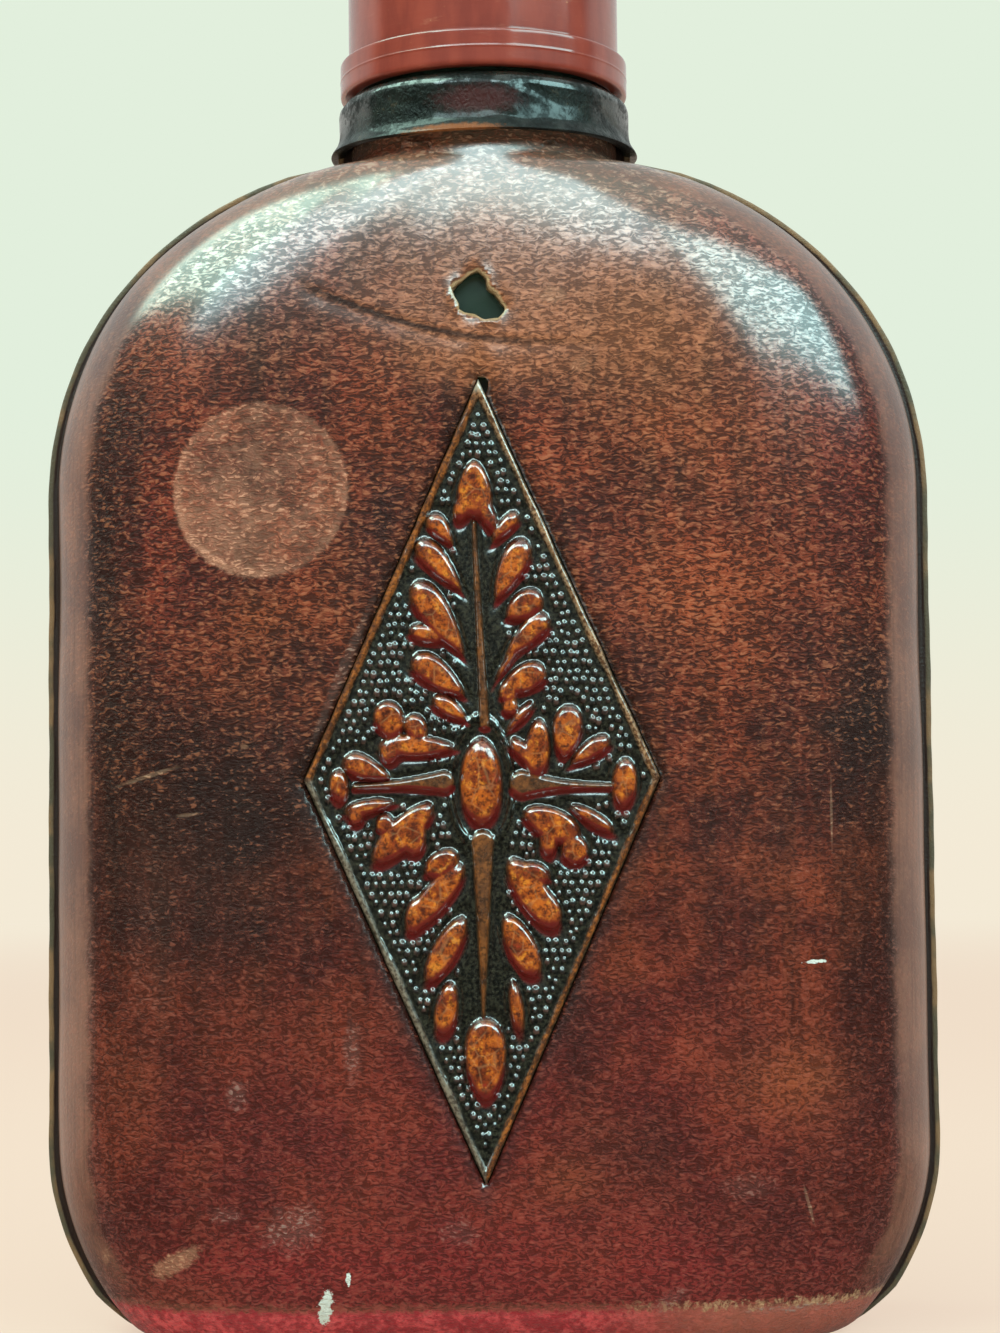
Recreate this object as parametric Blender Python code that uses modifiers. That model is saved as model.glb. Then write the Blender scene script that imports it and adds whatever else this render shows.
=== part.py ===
"""Leather-wrapped pocket flask: a blown glass bottle in a moulded two-part leather cover.

The bottle stands upright on its base, +Z up its neck, with its broad front face towards -Y.
The front and rear covers are one moulded jacket, split in the plane Y = 0, where their turned-out
edges make a narrow seam all round. A lozenge window in the front cover holds an embossed plaque.
A leather collar covers the neck joint, and a bored screw cap with a liner closes the mouth.
"""

import math

import bmesh
import bpy
import numpy as np
from mathutils import Matrix

# Glass bottle body: the broad face is seen from the front
GLASS_HALF_WIDTH = 0.0444
GLASS_HALF_DEPTH = 0.0160
GLASS_WALL = 0.0025
CORNER_RADIUS = 0.0243
CORNER_START = 0.0196
HEEL_EDGE_RADIUS = 0.0040
HEEL_DEPTH_RADIUS = 0.0070
SHOULDER_RADIUS = 0.0329
SHOULDER_START = 0.0886
DEPTH_TAPER_START = 0.0940

# Glass neck and its screw finish
NECK_RADIUS = 0.0128
NECK_FILLET_RADIUS = 0.0032
BEAD_RADIUS = 0.0138
BEAD_HEIGHT = 0.0026
BEAD_ROUNDING = 0.0006
BEAD_ABOVE_NECK_FOOT = 0.0031
FINISH_RADIUS = 0.01255
FINISH_HEIGHT = 0.0186
LIP_ROUNDING = 0.0008
BORE_RADIUS = 0.0093
BORE_TAPER_HEIGHT = 0.0030

# Leather cover
LEATHER = 0.0012
FIT_GAP = 0.0003
SEAM_GAP = 0.0003
SEAM_PROUD = 0.0012
SEAM_LIFT = 0.0001
COVER_ABOVE_NECK_FOOT = 0.0021

# Lozenge plaque and its window, set by hand a little to the left of the bottle's middle
PLAQUE_HALF_WIDTH = 0.0180
PLAQUE_HALF_HEIGHT = 0.0415
PLAQUE_CENTRE_ACROSS = -0.0008
PLAQUE_CENTRE_HEIGHT = 0.0575
PLAQUE_CORNER_RADIUS = 0.0006
PLAQUE_THICKNESS = 0.0011
WINDOW_CLEARANCE = 0.0003
BORDER_INSET = 0.0011
BORDER_RADIUS = 0.0007
RELIEF_HEIGHT = 0.0011
RELIEF_ROOT = 0.0004
RELIEF_SINK = 0.00015
STEM_RADIUS = 0.0007
LOBE_RADIUS = 0.0013
BOSS_HALF_WIDTH = 0.0022
BOSS_HALF_HEIGHT = 0.0039
BOSS_HEIGHT = 0.0015

# Places and sizes of the raised leaves as shares of the plaque's half width and half height:
# across, up, length (of the half height), breadth (of the half width), lean from upright in degrees.
LEAF_PAIR_SHARES = [
    (0.195, 0.530, 0.068, 0.066, 38.0),
    (0.240, 0.392, 0.098, 0.094, 34.0),
    (0.230, 0.229, 0.087, 0.088, 42.0),
    (0.378, 0.122, 0.098, 0.100, 58.0),
    (0.610, 0.052, 0.054, 0.058, 76.0),
    (0.610, -0.070, 0.054, 0.058, 104.0),
    (0.420, -0.133, 0.092, 0.098, 125.0),
    (0.280, -0.262, 0.118, 0.104, 148.0),
    (0.203, -0.408, 0.086, 0.072, 152.0),
    (0.200, -0.548, 0.062, 0.050, 158.0),
]
LEAF_CENTRE_SHARES = [
    (0.0, 0.706, 0.076, 0.100, 0.0),
    (0.0, -0.677, 0.094, 0.118, 0.0),
]
LOBE_SHARES = [(0.800, 0.005), (0.190, 0.640)]
UPRIGHT_STEM_SHARES = (0.640, -0.590)
CROSS_STEM_SHARE = 0.760

# Collar round the neck joint
COLLAR_WALL = 0.0012
COLLAR_FLARE = 0.0008
COLLAR_WAIST_HEIGHT = 0.0024
COLLAR_BULGE = 0.0003
COLLAR_TOP_GAP = 0.0003
COLLAR_ROLL = 0.0009
COLLAR_SKIRT_FRONT = 0.0002
COLLAR_SKIRT_RISE = 0.0016

# Screw cap and its liner
CAP_RING_RADIUS = 0.0155
CAP_RING_HEIGHT = 0.0038
CAP_RADIUS = 0.01457
CAP_BORE_RADIUS = 0.0139
CAP_TOP = 0.0018
CAP_RING_EDGE = 0.0004
CAP_TOP_EDGE = 0.0012
CAP_ABOVE_BEAD = 0.0011
LINER_THICKNESS = 0.0015
LINER_RADIUS = 0.0133
LINER_GAP = 0.0003

# One overrun past a face serves every cut
OVERRUN = 0.0100
MERGE = 0.00001

# Facets
QUARTER_CELLS = 10
SECTION_SAMPLES = 400
TURN_SHARE = 0.5
TURNED_STEPS = 48
HEEL_RINGS = 7
CORNER_RINGS = 4
SHOULDER_RINGS = 9
FILLET_RINGS = 4
LOZENGE_CORNER_STEPS = 5
DOME_SEGMENTS = 10
DOME_RINGS = 6
ROD_BEVEL_RESOLUTION = 1
SHARP_EDGE_DEGREES = 35.0
SLOPE_STEP = 0.0000001

# Levels and centres worked out from the sizes above
base_z = LEATHER + FIT_GAP
corner_x = GLASS_HALF_WIDTH - CORNER_RADIUS
shoulder_x = GLASS_HALF_WIDTH - SHOULDER_RADIUS
fillet_x = NECK_RADIUS + NECK_FILLET_RADIUS
fillet_reach = SHOULDER_RADIUS + NECK_FILLET_RADIUS
neck_foot_z = SHOULDER_START + math.sqrt(fillet_reach**2 - (fillet_x - shoulder_x) ** 2)
fillet_start_z = SHOULDER_START + (neck_foot_z - SHOULDER_START) * SHOULDER_RADIUS / fillet_reach
heel_z = base_z + HEEL_EDGE_RADIUS
heel_reach = CORNER_RADIUS - HEEL_EDGE_RADIUS
heel_x = corner_x + math.sqrt(heel_reach**2 - (CORNER_START - heel_z) ** 2)
heel_top_z = CORNER_START - (CORNER_START - heel_z) * CORNER_RADIUS / heel_reach
heel_depth_z = base_z + HEEL_DEPTH_RADIUS
base_half_depth = GLASS_HALF_DEPTH - HEEL_DEPTH_RADIUS
taper_height = neck_foot_z - DEPTH_TAPER_START
taper_depth = GLASS_HALF_DEPTH - NECK_RADIUS
taper_radius = (taper_height**2 + taper_depth**2) / (2.0 * taper_depth)

bead_z = neck_foot_z + BEAD_ABOVE_NECK_FOOT
finish_z = bead_z + BEAD_HEIGHT
mouth_z = finish_z + FINISH_HEIGHT
cover_top_z = neck_foot_z + COVER_ABOVE_NECK_FOOT
cover_offset = FIT_GAP + LEATHER
seam_offset = cover_offset + SEAM_PROUD

cap_bottom_z = finish_z + CAP_ABOVE_BEAD
ring_top_z = cap_bottom_z + CAP_RING_HEIGHT
liner_z = mouth_z + LINER_GAP
cap_ceiling_z = liner_z + LINER_THICKNESS + LINER_GAP
cap_top_z = cap_ceiling_z + CAP_TOP

plaque_back_y = -(GLASS_HALF_DEPTH + FIT_GAP)
plaque_ground_y = plaque_back_y - PLAQUE_THICKNESS
relief_y = plaque_ground_y + RELIEF_SINK


def clear_scene():
    """Remove every object that the file opened with."""
    for thing in list(bpy.data.objects):
        bpy.data.objects.remove(thing, do_unlink=True)


def new_collection(name):
    """A collection under the scene's own."""
    group = bpy.data.collections.new(name)
    bpy.context.scene.collection.children.link(group)
    return group


def finish_material(name, colour, roughness, metallic=0.0, transmission=0.0):
    """A Principled BSDF with the piece's plain colour and roughness."""
    material = bpy.data.materials.new(name)
    material.use_nodes = True
    shader = material.node_tree.nodes["Principled BSDF"]
    shader.inputs["Base Color"].default_value = (*colour, 1.0)
    shader.inputs["Roughness"].default_value = roughness
    shader.inputs["Metallic"].default_value = metallic
    shader.inputs["Transmission Weight"].default_value = transmission
    return material


def place(name, mesh, group, material=None):
    """Link a mesh into a collection as a named object, shaded smooth over its gentle edges."""
    thing = bpy.data.objects.new(name, mesh)
    group.objects.link(thing)
    if material is not None:
        mesh.materials.append(material)
    mesh.shade_smooth()
    mesh.set_sharp_from_angle(angle=math.radians(SHARP_EDGE_DEGREES))
    return thing


def place_guide(name, mesh):
    """Link a mesh as a hidden cutter or guide."""
    thing = bpy.data.objects.new(name, mesh)
    guides.objects.link(thing)
    thing.hide_render = True
    thing.display_type = "WIRE"
    return thing


def cut_with(thing, cutter, operation="DIFFERENCE", own_overlaps=False):
    """Add an exact Boolean to a piece."""
    step = thing.modifiers.new(f"{operation.lower()} {cutter.name}", "BOOLEAN")
    step.operation = operation
    step.object = cutter
    step.solver = "EXACT"
    step.use_self = own_overlaps
    return step


def arc_reach(centre, radius, drop):
    """How far an arc reaches sideways at a height that lies a drop away from its centre."""
    return centre + np.sqrt(np.maximum(radius**2 - drop**2, 0.0))


def half_width(z):
    """Half width of the glass: heel blend, corner arc, straight flank, shoulder arc, neck fillet."""
    zones = [z < heel_top_z, z < CORNER_START, z < SHOULDER_START, z < fillet_start_z, z < neck_foot_z]
    reaches = [
        arc_reach(heel_x, HEEL_EDGE_RADIUS, heel_z - z),
        arc_reach(corner_x, CORNER_RADIUS, CORNER_START - z),
        np.full_like(z, GLASS_HALF_WIDTH),
        arc_reach(shoulder_x, SHOULDER_RADIUS, z - SHOULDER_START),
        2.0 * fillet_x - arc_reach(fillet_x, NECK_FILLET_RADIUS, neck_foot_z - z),
    ]
    return np.select(zones, reaches, NECK_RADIUS)


def half_depth(z):
    """Half depth of the glass: rounded heel, straight face, and one long arc that leans in to the neck."""
    heel = arc_reach(base_half_depth, HEEL_DEPTH_RADIUS, heel_depth_z - z)
    rise = np.maximum(z - DEPTH_TAPER_START, 0.0)
    lean = arc_reach(GLASS_HALF_DEPTH - taper_radius, taper_radius, rise)
    return np.select([z < heel_depth_z, z < neck_foot_z], [heel, lean], NECK_RADIUS)


def section_level(points):
    """Section formula: zero on the glass, above zero outside it.

    The share of the half width, to a power of twice the width over the depth, plus the square of
    the share of the half depth, less one. The power turns the two ends into half rounds.
    """
    a = half_width(points[..., 2])
    b = half_depth(points[..., 2])
    across = np.abs(points[..., 0]) / a
    return across ** (2.0 * a / b) + (points[..., 1] / b) ** 2 - 1.0


def section_ring(z):
    """Points round one level section, closer where it turns sharply than where it runs flat."""
    a = float(half_width(np.array(z)))
    b = float(half_depth(np.array(z)))
    t = np.linspace(0.0, math.pi / 2.0, SECTION_SAMPLES)
    x = a * np.clip(np.cos(t), 0.0, 1.0) ** (b / a)
    y = b * np.sin(t)
    run = np.concatenate([[0.0], np.cumsum(np.hypot(np.diff(x), np.diff(y)))])
    turn = np.arctan2(-np.gradient(x), np.gradient(y))
    turn = (turn - turn[0]) / (turn[-1] - turn[0])
    pace = (1.0 - TURN_SHARE) * run / run[-1] + TURN_SHARE * turn
    at = np.interp(np.linspace(0.0, 1.0, QUARTER_CELLS + 1), pace, np.arange(SECTION_SAMPLES))
    qx = np.interp(at, np.arange(SECTION_SAMPLES), x)
    qy = np.interp(at, np.arange(SECTION_SAMPLES), y)
    ring_x = np.concatenate([qx, -qx[-2::-1], -qx[1:], qx[-2:0:-1]])
    ring_y = np.concatenate([qy, qy[-2::-1], -qy[1:], -qy[-2:0:-1]])
    return np.stack([ring_x, ring_y, np.full(ring_x.shape, z)], axis=-1)


def offset_ring(z, offset):
    """One level section moved square to the glass by an offset, inwards where it is negative."""
    ring = section_ring(z)
    if z <= base_z:
        return ring - np.array([0.0, 0.0, offset])
    slope = np.zeros_like(ring)
    for axis in range(3):
        step = np.zeros(3)
        step[axis] = SLOPE_STEP
        slope[:, axis] = section_level(ring + step) - section_level(ring - step)
    slope /= np.linalg.norm(slope, axis=1, keepdims=True)
    return ring + offset * slope


def body_levels():
    """Heights of the body's sections, from the base to the foot of the neck."""
    heel = base_z + HEEL_DEPTH_RADIUS * (1.0 - np.cos(np.linspace(0.0, math.pi / 2.0, HEEL_RINGS)))
    corner = np.linspace(heel_depth_z, CORNER_START, CORNER_RINGS)[1:]
    sweep = math.asin((fillet_start_z - SHOULDER_START) / SHOULDER_RADIUS)
    shoulder = SHOULDER_START + SHOULDER_RADIUS * np.sin(np.linspace(0.0, sweep, SHOULDER_RINGS))
    turn = math.acos((neck_foot_z - fillet_start_z) / NECK_FILLET_RADIUS)
    fillet = neck_foot_z - NECK_FILLET_RADIUS * np.cos(np.linspace(turn, math.pi / 2.0, FILLET_RINGS))
    return np.concatenate([heel, corner, shoulder, fillet[1:]])


def round_ring(radius, z):
    """A round section with as many points as the body's sections."""
    angle = np.arange(4 * QUARTER_CELLS) * (2.0 * math.pi / (4 * QUARTER_CELLS))
    return np.stack([radius * np.cos(angle), radius * np.sin(angle), np.full(angle.shape, z)], axis=-1)


def skin(name, rings):
    """A closed mesh over a row of rings of as many points, with a face over each end ring."""
    count = len(rings[0])
    verts = np.concatenate(rings)
    faces = []
    for level in range(len(rings) - 1):
        low = level * count
        for k in range(count):
            after = (k + 1) % count
            faces.append((low + k, low + after, low + count + after, low + count + k))
    last = (len(rings) - 1) * count
    faces.append(tuple(range(count))[::-1])
    faces.append(tuple(last + k for k in range(count)))
    mesh = bpy.data.meshes.new(name)
    mesh.from_pydata([tuple(v) for v in verts], [], faces)
    mesh.validate()
    return mesh


def body_rings(offset):
    """The body's sections, all moved out by one offset."""
    return [offset_ring(float(z), offset) for z in body_levels()]


def turned_mesh(name, profile):
    """A turned piece: a closed profile of radius and height, listed down its outer side first."""
    count = len(profile)
    mesh = bpy.data.meshes.new(name)
    edges = [(k, (k + 1) % count) for k in range(count)]
    mesh.from_pydata([(radius, 0.0, z) for radius, z in profile], edges, [])
    guide = place_guide(f"{name} profile", mesh)
    spin = guide.modifiers.new("spin", "SCREW")
    spin.steps = TURNED_STEPS
    spin.render_steps = TURNED_STEPS
    spin.use_merge_vertices = True
    spin.merge_threshold = MERGE
    return baked(name, guide)


def baked(name, guide):
    """The evaluated shape of a guide as a plain mesh in world space, with loose joints welded."""
    bpy.context.view_layer.update()
    seen = guide.evaluated_get(bpy.context.evaluated_depsgraph_get())
    mesh = bpy.data.meshes.new_from_object(seen)
    mesh.name = name
    mesh.transform(guide.matrix_world)
    work = bmesh.new()
    work.from_mesh(mesh)
    bmesh.ops.remove_doubles(work, verts=work.verts, dist=MERGE)
    bmesh.ops.recalc_face_normals(work, faces=work.faces)
    work.to_mesh(mesh)
    work.free()
    bpy.data.objects.remove(guide, do_unlink=True)
    return mesh


def plate_mesh(name, outline, front_y, rear_y):
    """A flat plate: an outline of X and Z, filled, with its thickness along Y."""
    curve = bpy.data.curves.new(name, "CURVE")
    curve.dimensions = "2D"
    curve.fill_mode = "BOTH"
    curve.extrude = (rear_y - front_y) / 2.0
    spline = curve.splines.new("POLY")
    spline.points.add(len(outline) - 1)
    for point, (x, z) in zip(spline.points, outline):
        point.co = (x, z, 0.0, 1.0)
    spline.use_cyclic_u = True
    guide = place_guide(name, curve)
    guide.matrix_world = Matrix.Translation((0.0, (front_y + rear_y) / 2.0, 0.0)) @ Matrix.Rotation(
        math.pi / 2.0, 4, "X"
    )
    return baked(name, guide)


def box_mesh(name, low, high):
    """A box between two corners."""
    work = bmesh.new()
    bmesh.ops.create_cube(work, size=1.0)
    span = [top - bottom for bottom, top in zip(low, high)]
    middle = [(top + bottom) / 2.0 for bottom, top in zip(low, high)]
    bmesh.ops.scale(work, verts=work.verts, vec=span)
    bmesh.ops.translate(work, verts=work.verts, vec=middle)
    mesh = bpy.data.meshes.new(name)
    work.to_mesh(mesh)
    work.free()
    return mesh


def on_plaque(across, up):
    """X and Z of a place that is given across and up from the plaque's centre."""
    return PLAQUE_CENTRE_ACROSS + across, PLAQUE_CENTRE_HEIGHT + up


def lozenge(half_across, half_up, corner):
    """A lozenge outline of X and Z round the plaque's centre, its four corners rounded."""
    side = math.atan2(half_up, half_across)
    outline = []
    for quarter in range(4):
        upright = quarter % 2 == 1
        facing = quarter * math.pi / 2.0
        spread = side if upright else math.pi / 2.0 - side
        back = corner / math.cos(spread)
        reach = (half_up if upright else half_across) - back
        for k in range(LOZENGE_CORNER_STEPS + 1):
            angle = facing - spread + 2.0 * spread * k / LOZENGE_CORNER_STEPS
            across = reach * math.cos(facing) + corner * math.cos(angle)
            up = reach * math.sin(facing) + corner * math.sin(angle)
            outline.append(on_plaque(across, up))
    return outline


def tube_mesh(name, points, radius, cyclic=False):
    """A round rod along points, its ends filled."""
    curve = bpy.data.curves.new(name, "CURVE")
    curve.dimensions = "3D"
    curve.bevel_depth = radius
    curve.bevel_resolution = ROD_BEVEL_RESOLUTION
    curve.use_fill_caps = True
    spline = curve.splines.new("POLY")
    spline.points.add(len(points) - 1)
    for point, place_at in zip(spline.points, points):
        point.co = (*place_at, 1.0)
    spline.use_cyclic_u = cyclic
    return baked(name, place_guide(name, curve))


def add_dome(work, across, up, half_long, half_broad, height, lean):
    """Add a leaf-shaped dome on the plaque's ground, its length leaning from upright, its root sunk."""
    made = bmesh.ops.create_uvsphere(work, u_segments=DOME_SEGMENTS, v_segments=DOME_RINGS, radius=1.0)["verts"]
    root = [vert for vert in made if vert.co.y > 0.0]
    bmesh.ops.scale(work, verts=root, vec=(1.0, RELIEF_ROOT / height, 1.0))
    bmesh.ops.scale(work, verts=made, vec=(half_broad, height, half_long))
    bmesh.ops.rotate(work, verts=made, matrix=Matrix.Rotation(math.radians(lean), 3, "Y"))
    x, z = on_plaque(across, up)
    bmesh.ops.translate(work, verts=made, vec=(x, relief_y, z))


def relief_mesh():
    """All raised leaves, lobes and the oval boss of the plaque."""
    leaves = LEAF_CENTRE_SHARES + LEAF_PAIR_SHARES
    leaves += [(-across, up, long, broad, -lean) for across, up, long, broad, lean in LEAF_PAIR_SHARES]
    work = bmesh.new()
    for across, up, long_share, broad_share, lean in leaves:
        add_dome(
            work,
            across * PLAQUE_HALF_WIDTH,
            up * PLAQUE_HALF_HEIGHT,
            long_share * PLAQUE_HALF_HEIGHT,
            broad_share * PLAQUE_HALF_WIDTH,
            RELIEF_HEIGHT,
            lean,
        )
    for across, up in LOBE_SHARES:
        for side in (-1.0, 1.0):
            x, z = side * across * PLAQUE_HALF_WIDTH, up * PLAQUE_HALF_HEIGHT
            add_dome(work, x, z, LOBE_RADIUS, LOBE_RADIUS, RELIEF_HEIGHT, 0.0)
    add_dome(work, 0.0, 0.0, BOSS_HALF_HEIGHT, BOSS_HALF_WIDTH, BOSS_HEIGHT, 0.0)
    mesh = bpy.data.meshes.new("relief")
    work.to_mesh(mesh)
    work.free()
    return mesh


def make_bottle():
    """Glass bottle: one skin up the outside, over the lip, and down the inside to its floor."""
    outside = body_rings(0.0)
    outside.append(round_ring(NECK_RADIUS, bead_z))
    outside.append(round_ring(BEAD_RADIUS, bead_z + BEAD_ROUNDING))
    outside.append(round_ring(BEAD_RADIUS, finish_z - BEAD_ROUNDING))
    outside.append(round_ring(BEAD_RADIUS - BEAD_ROUNDING, finish_z))
    outside.append(round_ring(FINISH_RADIUS, finish_z))
    outside.append(round_ring(FINISH_RADIUS, mouth_z - LIP_ROUNDING))
    outside.append(round_ring(FINISH_RADIUS - LIP_ROUNDING, mouth_z))
    inside = [
        round_ring(BORE_RADIUS + LIP_ROUNDING, mouth_z),
        round_ring(BORE_RADIUS, mouth_z - LIP_ROUNDING),
        round_ring(BORE_RADIUS, neck_foot_z + BORE_TAPER_HEIGHT),
    ]
    inside += body_rings(-GLASS_WALL)[::-1]
    return place("glass_bottle", skin("glass_bottle", outside + inside), flask, glass)


def cover_guides():
    """The seam plate, the hollow for the glass and the two half spaces that shape the covers."""
    top = round_ring(NECK_RADIUS + FIT_GAP, cover_top_z + OVERRUN)
    hollow = place_guide("hollow", skin("hollow", body_rings(FIT_GAP) + [top]))

    edge = np.array([ring[0] for ring in body_rings(seam_offset)])
    foot = np.interp(SEAM_LIFT, edge[:, 2], edge[:, 0])
    above = [(x, z) for x, _, z in edge if z > SEAM_LIFT]
    right = [(foot, SEAM_LIFT)] + above
    outline = right + [(-x, z) for x, z in right[::-1]]
    half = SEAM_GAP / 2.0 + LEATHER
    seam = place_guide("seam", plate_mesh("seam", outline, -half, half))

    reach = GLASS_HALF_WIDTH + seam_offset + OVERRUN
    near = SEAM_GAP / 2.0
    far = GLASS_HALF_DEPTH + cover_offset + OVERRUN
    low, high = -OVERRUN, cover_top_z + OVERRUN
    rear_half = place_guide("rear half", box_mesh("rear half", (-reach, -near, low), (reach, far, high)))
    front_half = place_guide("front half", box_mesh("front half", (-reach, -far, low), (reach, near, high)))
    return hollow, seam, front_half, rear_half


def make_covers():
    """Front and rear leather covers, split at the seam, the front one with its lozenge window."""
    hollow, seam, front_half, rear_half = cover_guides()
    top = round_ring(NECK_RADIUS + cover_offset, cover_top_z)
    rings = body_rings(cover_offset) + [top]
    covers = []
    for name, other_half in (("front_cover", rear_half), ("rear_cover", front_half)):
        cover = place(name, skin(name, rings), flask, cover_leather)
        cut_with(cover, seam, "UNION")
        cut_with(cover, hollow)
        cut_with(cover, other_half)
        covers.append(cover)
    slim = math.atan2(PLAQUE_HALF_WIDTH, PLAQUE_HALF_HEIGHT)
    outline = lozenge(
        PLAQUE_HALF_WIDTH + WINDOW_CLEARANCE / math.cos(slim),
        PLAQUE_HALF_HEIGHT + WINDOW_CLEARANCE / math.sin(slim),
        PLAQUE_CORNER_RADIUS + WINDOW_CLEARANCE,
    )
    front_y = -(GLASS_HALF_DEPTH + cover_offset + OVERRUN)
    window = plate_mesh("window", outline, front_y, -base_half_depth)
    cut_with(covers[0], place_guide("window", window))
    return covers


def relief_line(places):
    """Points at the root of the relief, from places given across and up from the plaque's centre."""
    return [(x, relief_y, z) for x, z in (on_plaque(across, up) for across, up in places)]


def make_plaque():
    """Embossed plaque: a plate that fills the window, with a raised border, stems and leaves."""
    outline = lozenge(PLAQUE_HALF_WIDTH, PLAQUE_HALF_HEIGHT, PLAQUE_CORNER_RADIUS)
    plate = plate_mesh("lozenge_plaque", outline, plaque_ground_y, plaque_back_y)
    plaque = place("lozenge_plaque", plate, flask, plaque_leather)

    slim = math.atan2(PLAQUE_HALF_WIDTH, PLAQUE_HALF_HEIGHT)
    across = PLAQUE_HALF_WIDTH - BORDER_INSET / math.cos(slim)
    up = PLAQUE_HALF_HEIGHT - BORDER_INSET / math.sin(slim)
    corners = [(across, 0.0), (0.0, up), (-across, 0.0), (0.0, -up)]
    border = place_guide("border", tube_mesh("border", relief_line(corners), BORDER_RADIUS, cyclic=True))
    cut_with(plaque, border, "UNION")

    upright = [(0.0, share * PLAQUE_HALF_HEIGHT) for share in UPRIGHT_STEM_SHARES]
    cross = [(side * CROSS_STEM_SHARE * PLAQUE_HALF_WIDTH, 0.0) for side in (-1.0, 1.0)]
    for name, ends in (("upright stem", upright), ("cross stem", cross)):
        cut_with(plaque, place_guide(name, tube_mesh(name, relief_line(ends), STEM_RADIUS)), "UNION")
    cut_with(plaque, place_guide("relief", relief_mesh()), "UNION", own_overlaps=True)
    return plaque


def make_collar():
    """Collar: turned leather band, waisted over the covers and bulged over the glass bead."""
    inner = NECK_RADIUS + cover_offset + FIT_GAP
    over_bead = BEAD_RADIUS + FIT_GAP
    low = neck_foot_z - COLLAR_SKIRT_RISE
    waist_z = neck_foot_z + COLLAR_WAIST_HEIGHT
    top = cap_bottom_z - COLLAR_TOP_GAP - FIT_GAP
    bulge = over_bead + COLLAR_WALL + COLLAR_BULGE
    profile = [
        (over_bead, top),
        (bulge - COLLAR_ROLL / 2.0, top - COLLAR_ROLL / 4.0),
        (bulge, top - COLLAR_ROLL),
        (bulge, bead_z + BEAD_ROUNDING),
        (inner + COLLAR_WALL / 2.0, waist_z),
        (inner + COLLAR_WALL, neck_foot_z + COLLAR_ROLL),
        (inner + COLLAR_WALL + COLLAR_FLARE, low),
        (inner, low),
        (inner, cover_top_z + FIT_GAP),
        (over_bead, bead_z),
    ]
    collar = place("neck_collar", turned_mesh("neck_collar", profile), flask, collar_leather)

    reach = inner + COLLAR_WALL + COLLAR_FLARE
    skirt_z = neck_foot_z - COLLAR_SKIRT_FRONT
    wide = reach + OVERRUN
    xs = np.linspace(-reach, reach, TURNED_STEPS // 2 + 1)
    arc = [(float(x), skirt_z + COLLAR_SKIRT_RISE * float(x / reach) ** 2) for x in xs]
    rim_z = skirt_z + COLLAR_SKIRT_RISE
    outline = [(wide, rim_z), (wide, low - OVERRUN), (-wide, low - OVERRUN), (-wide, rim_z)] + arc
    trim = place_guide("skirt trim", plate_mesh("skirt trim", outline, -wide, wide))
    cut_with(collar, trim)
    return collar


def make_cap():
    """Cap: turned shell with a wider ring round its open end."""
    eased = CAP_TOP_EDGE * (1.0 - math.sqrt(0.5))
    profile = [
        (0.0, cap_top_z),
        (CAP_RADIUS - CAP_TOP_EDGE, cap_top_z),
        (CAP_RADIUS - eased, cap_top_z - eased),
        (CAP_RADIUS, cap_top_z - CAP_TOP_EDGE),
        (CAP_RADIUS, ring_top_z),
        (CAP_RING_RADIUS - CAP_RING_EDGE, ring_top_z),
        (CAP_RING_RADIUS, ring_top_z - CAP_RING_EDGE),
        (CAP_RING_RADIUS, cap_bottom_z + CAP_RING_EDGE),
        (CAP_RING_RADIUS - CAP_RING_EDGE, cap_bottom_z),
        (CAP_BORE_RADIUS, cap_bottom_z),
        (CAP_BORE_RADIUS, cap_ceiling_z),
        (0.0, cap_ceiling_z),
    ]
    return place("cap", turned_mesh("cap", profile), flask, cap_plastic)


def make_liner():
    """Liner: a plain disc under the cap's ceiling."""
    top = liner_z + LINER_THICKNESS
    profile = [(0.0, top), (LINER_RADIUS, top), (LINER_RADIUS, liner_z), (0.0, liner_z)]
    return place("cap_liner", turned_mesh("cap_liner", profile), flask, liner_board)


clear_scene()
flask = new_collection("leather_flask")
guides = new_collection("cutters")

glass = finish_material("dark green glass", (0.020, 0.045, 0.038), 0.08, transmission=0.5)
cover_leather = finish_material("red-brown leather", (0.115, 0.030, 0.022), 0.42)
plaque_leather = finish_material("embossed leather", (0.180, 0.060, 0.025), 0.40)
collar_leather = finish_material("dark glossy leather", (0.020, 0.018, 0.014), 0.25)
cap_plastic = finish_material("oxblood plastic", (0.200, 0.035, 0.025), 0.22)
liner_board = finish_material("pale liner", (0.600, 0.520, 0.400), 0.75)

make_bottle()
make_covers()
make_plaque()
make_collar()
make_cap()
make_liner()
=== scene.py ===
# %% [markdown]
# # Dressing a leather-wrapped flask
# A CAD model says where every part of this flask is and how its cap turns. This lesson gives the parts
# their looks: two moulded leather covers, an embossed lozenge, a glossy collar, a screw cap and green
# glass. Every piece is a surface worked out with numpy, and every finish is a node material.

import math

import bmesh
import bpy
import numpy as np
from mathutils import Matrix, Vector


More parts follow.
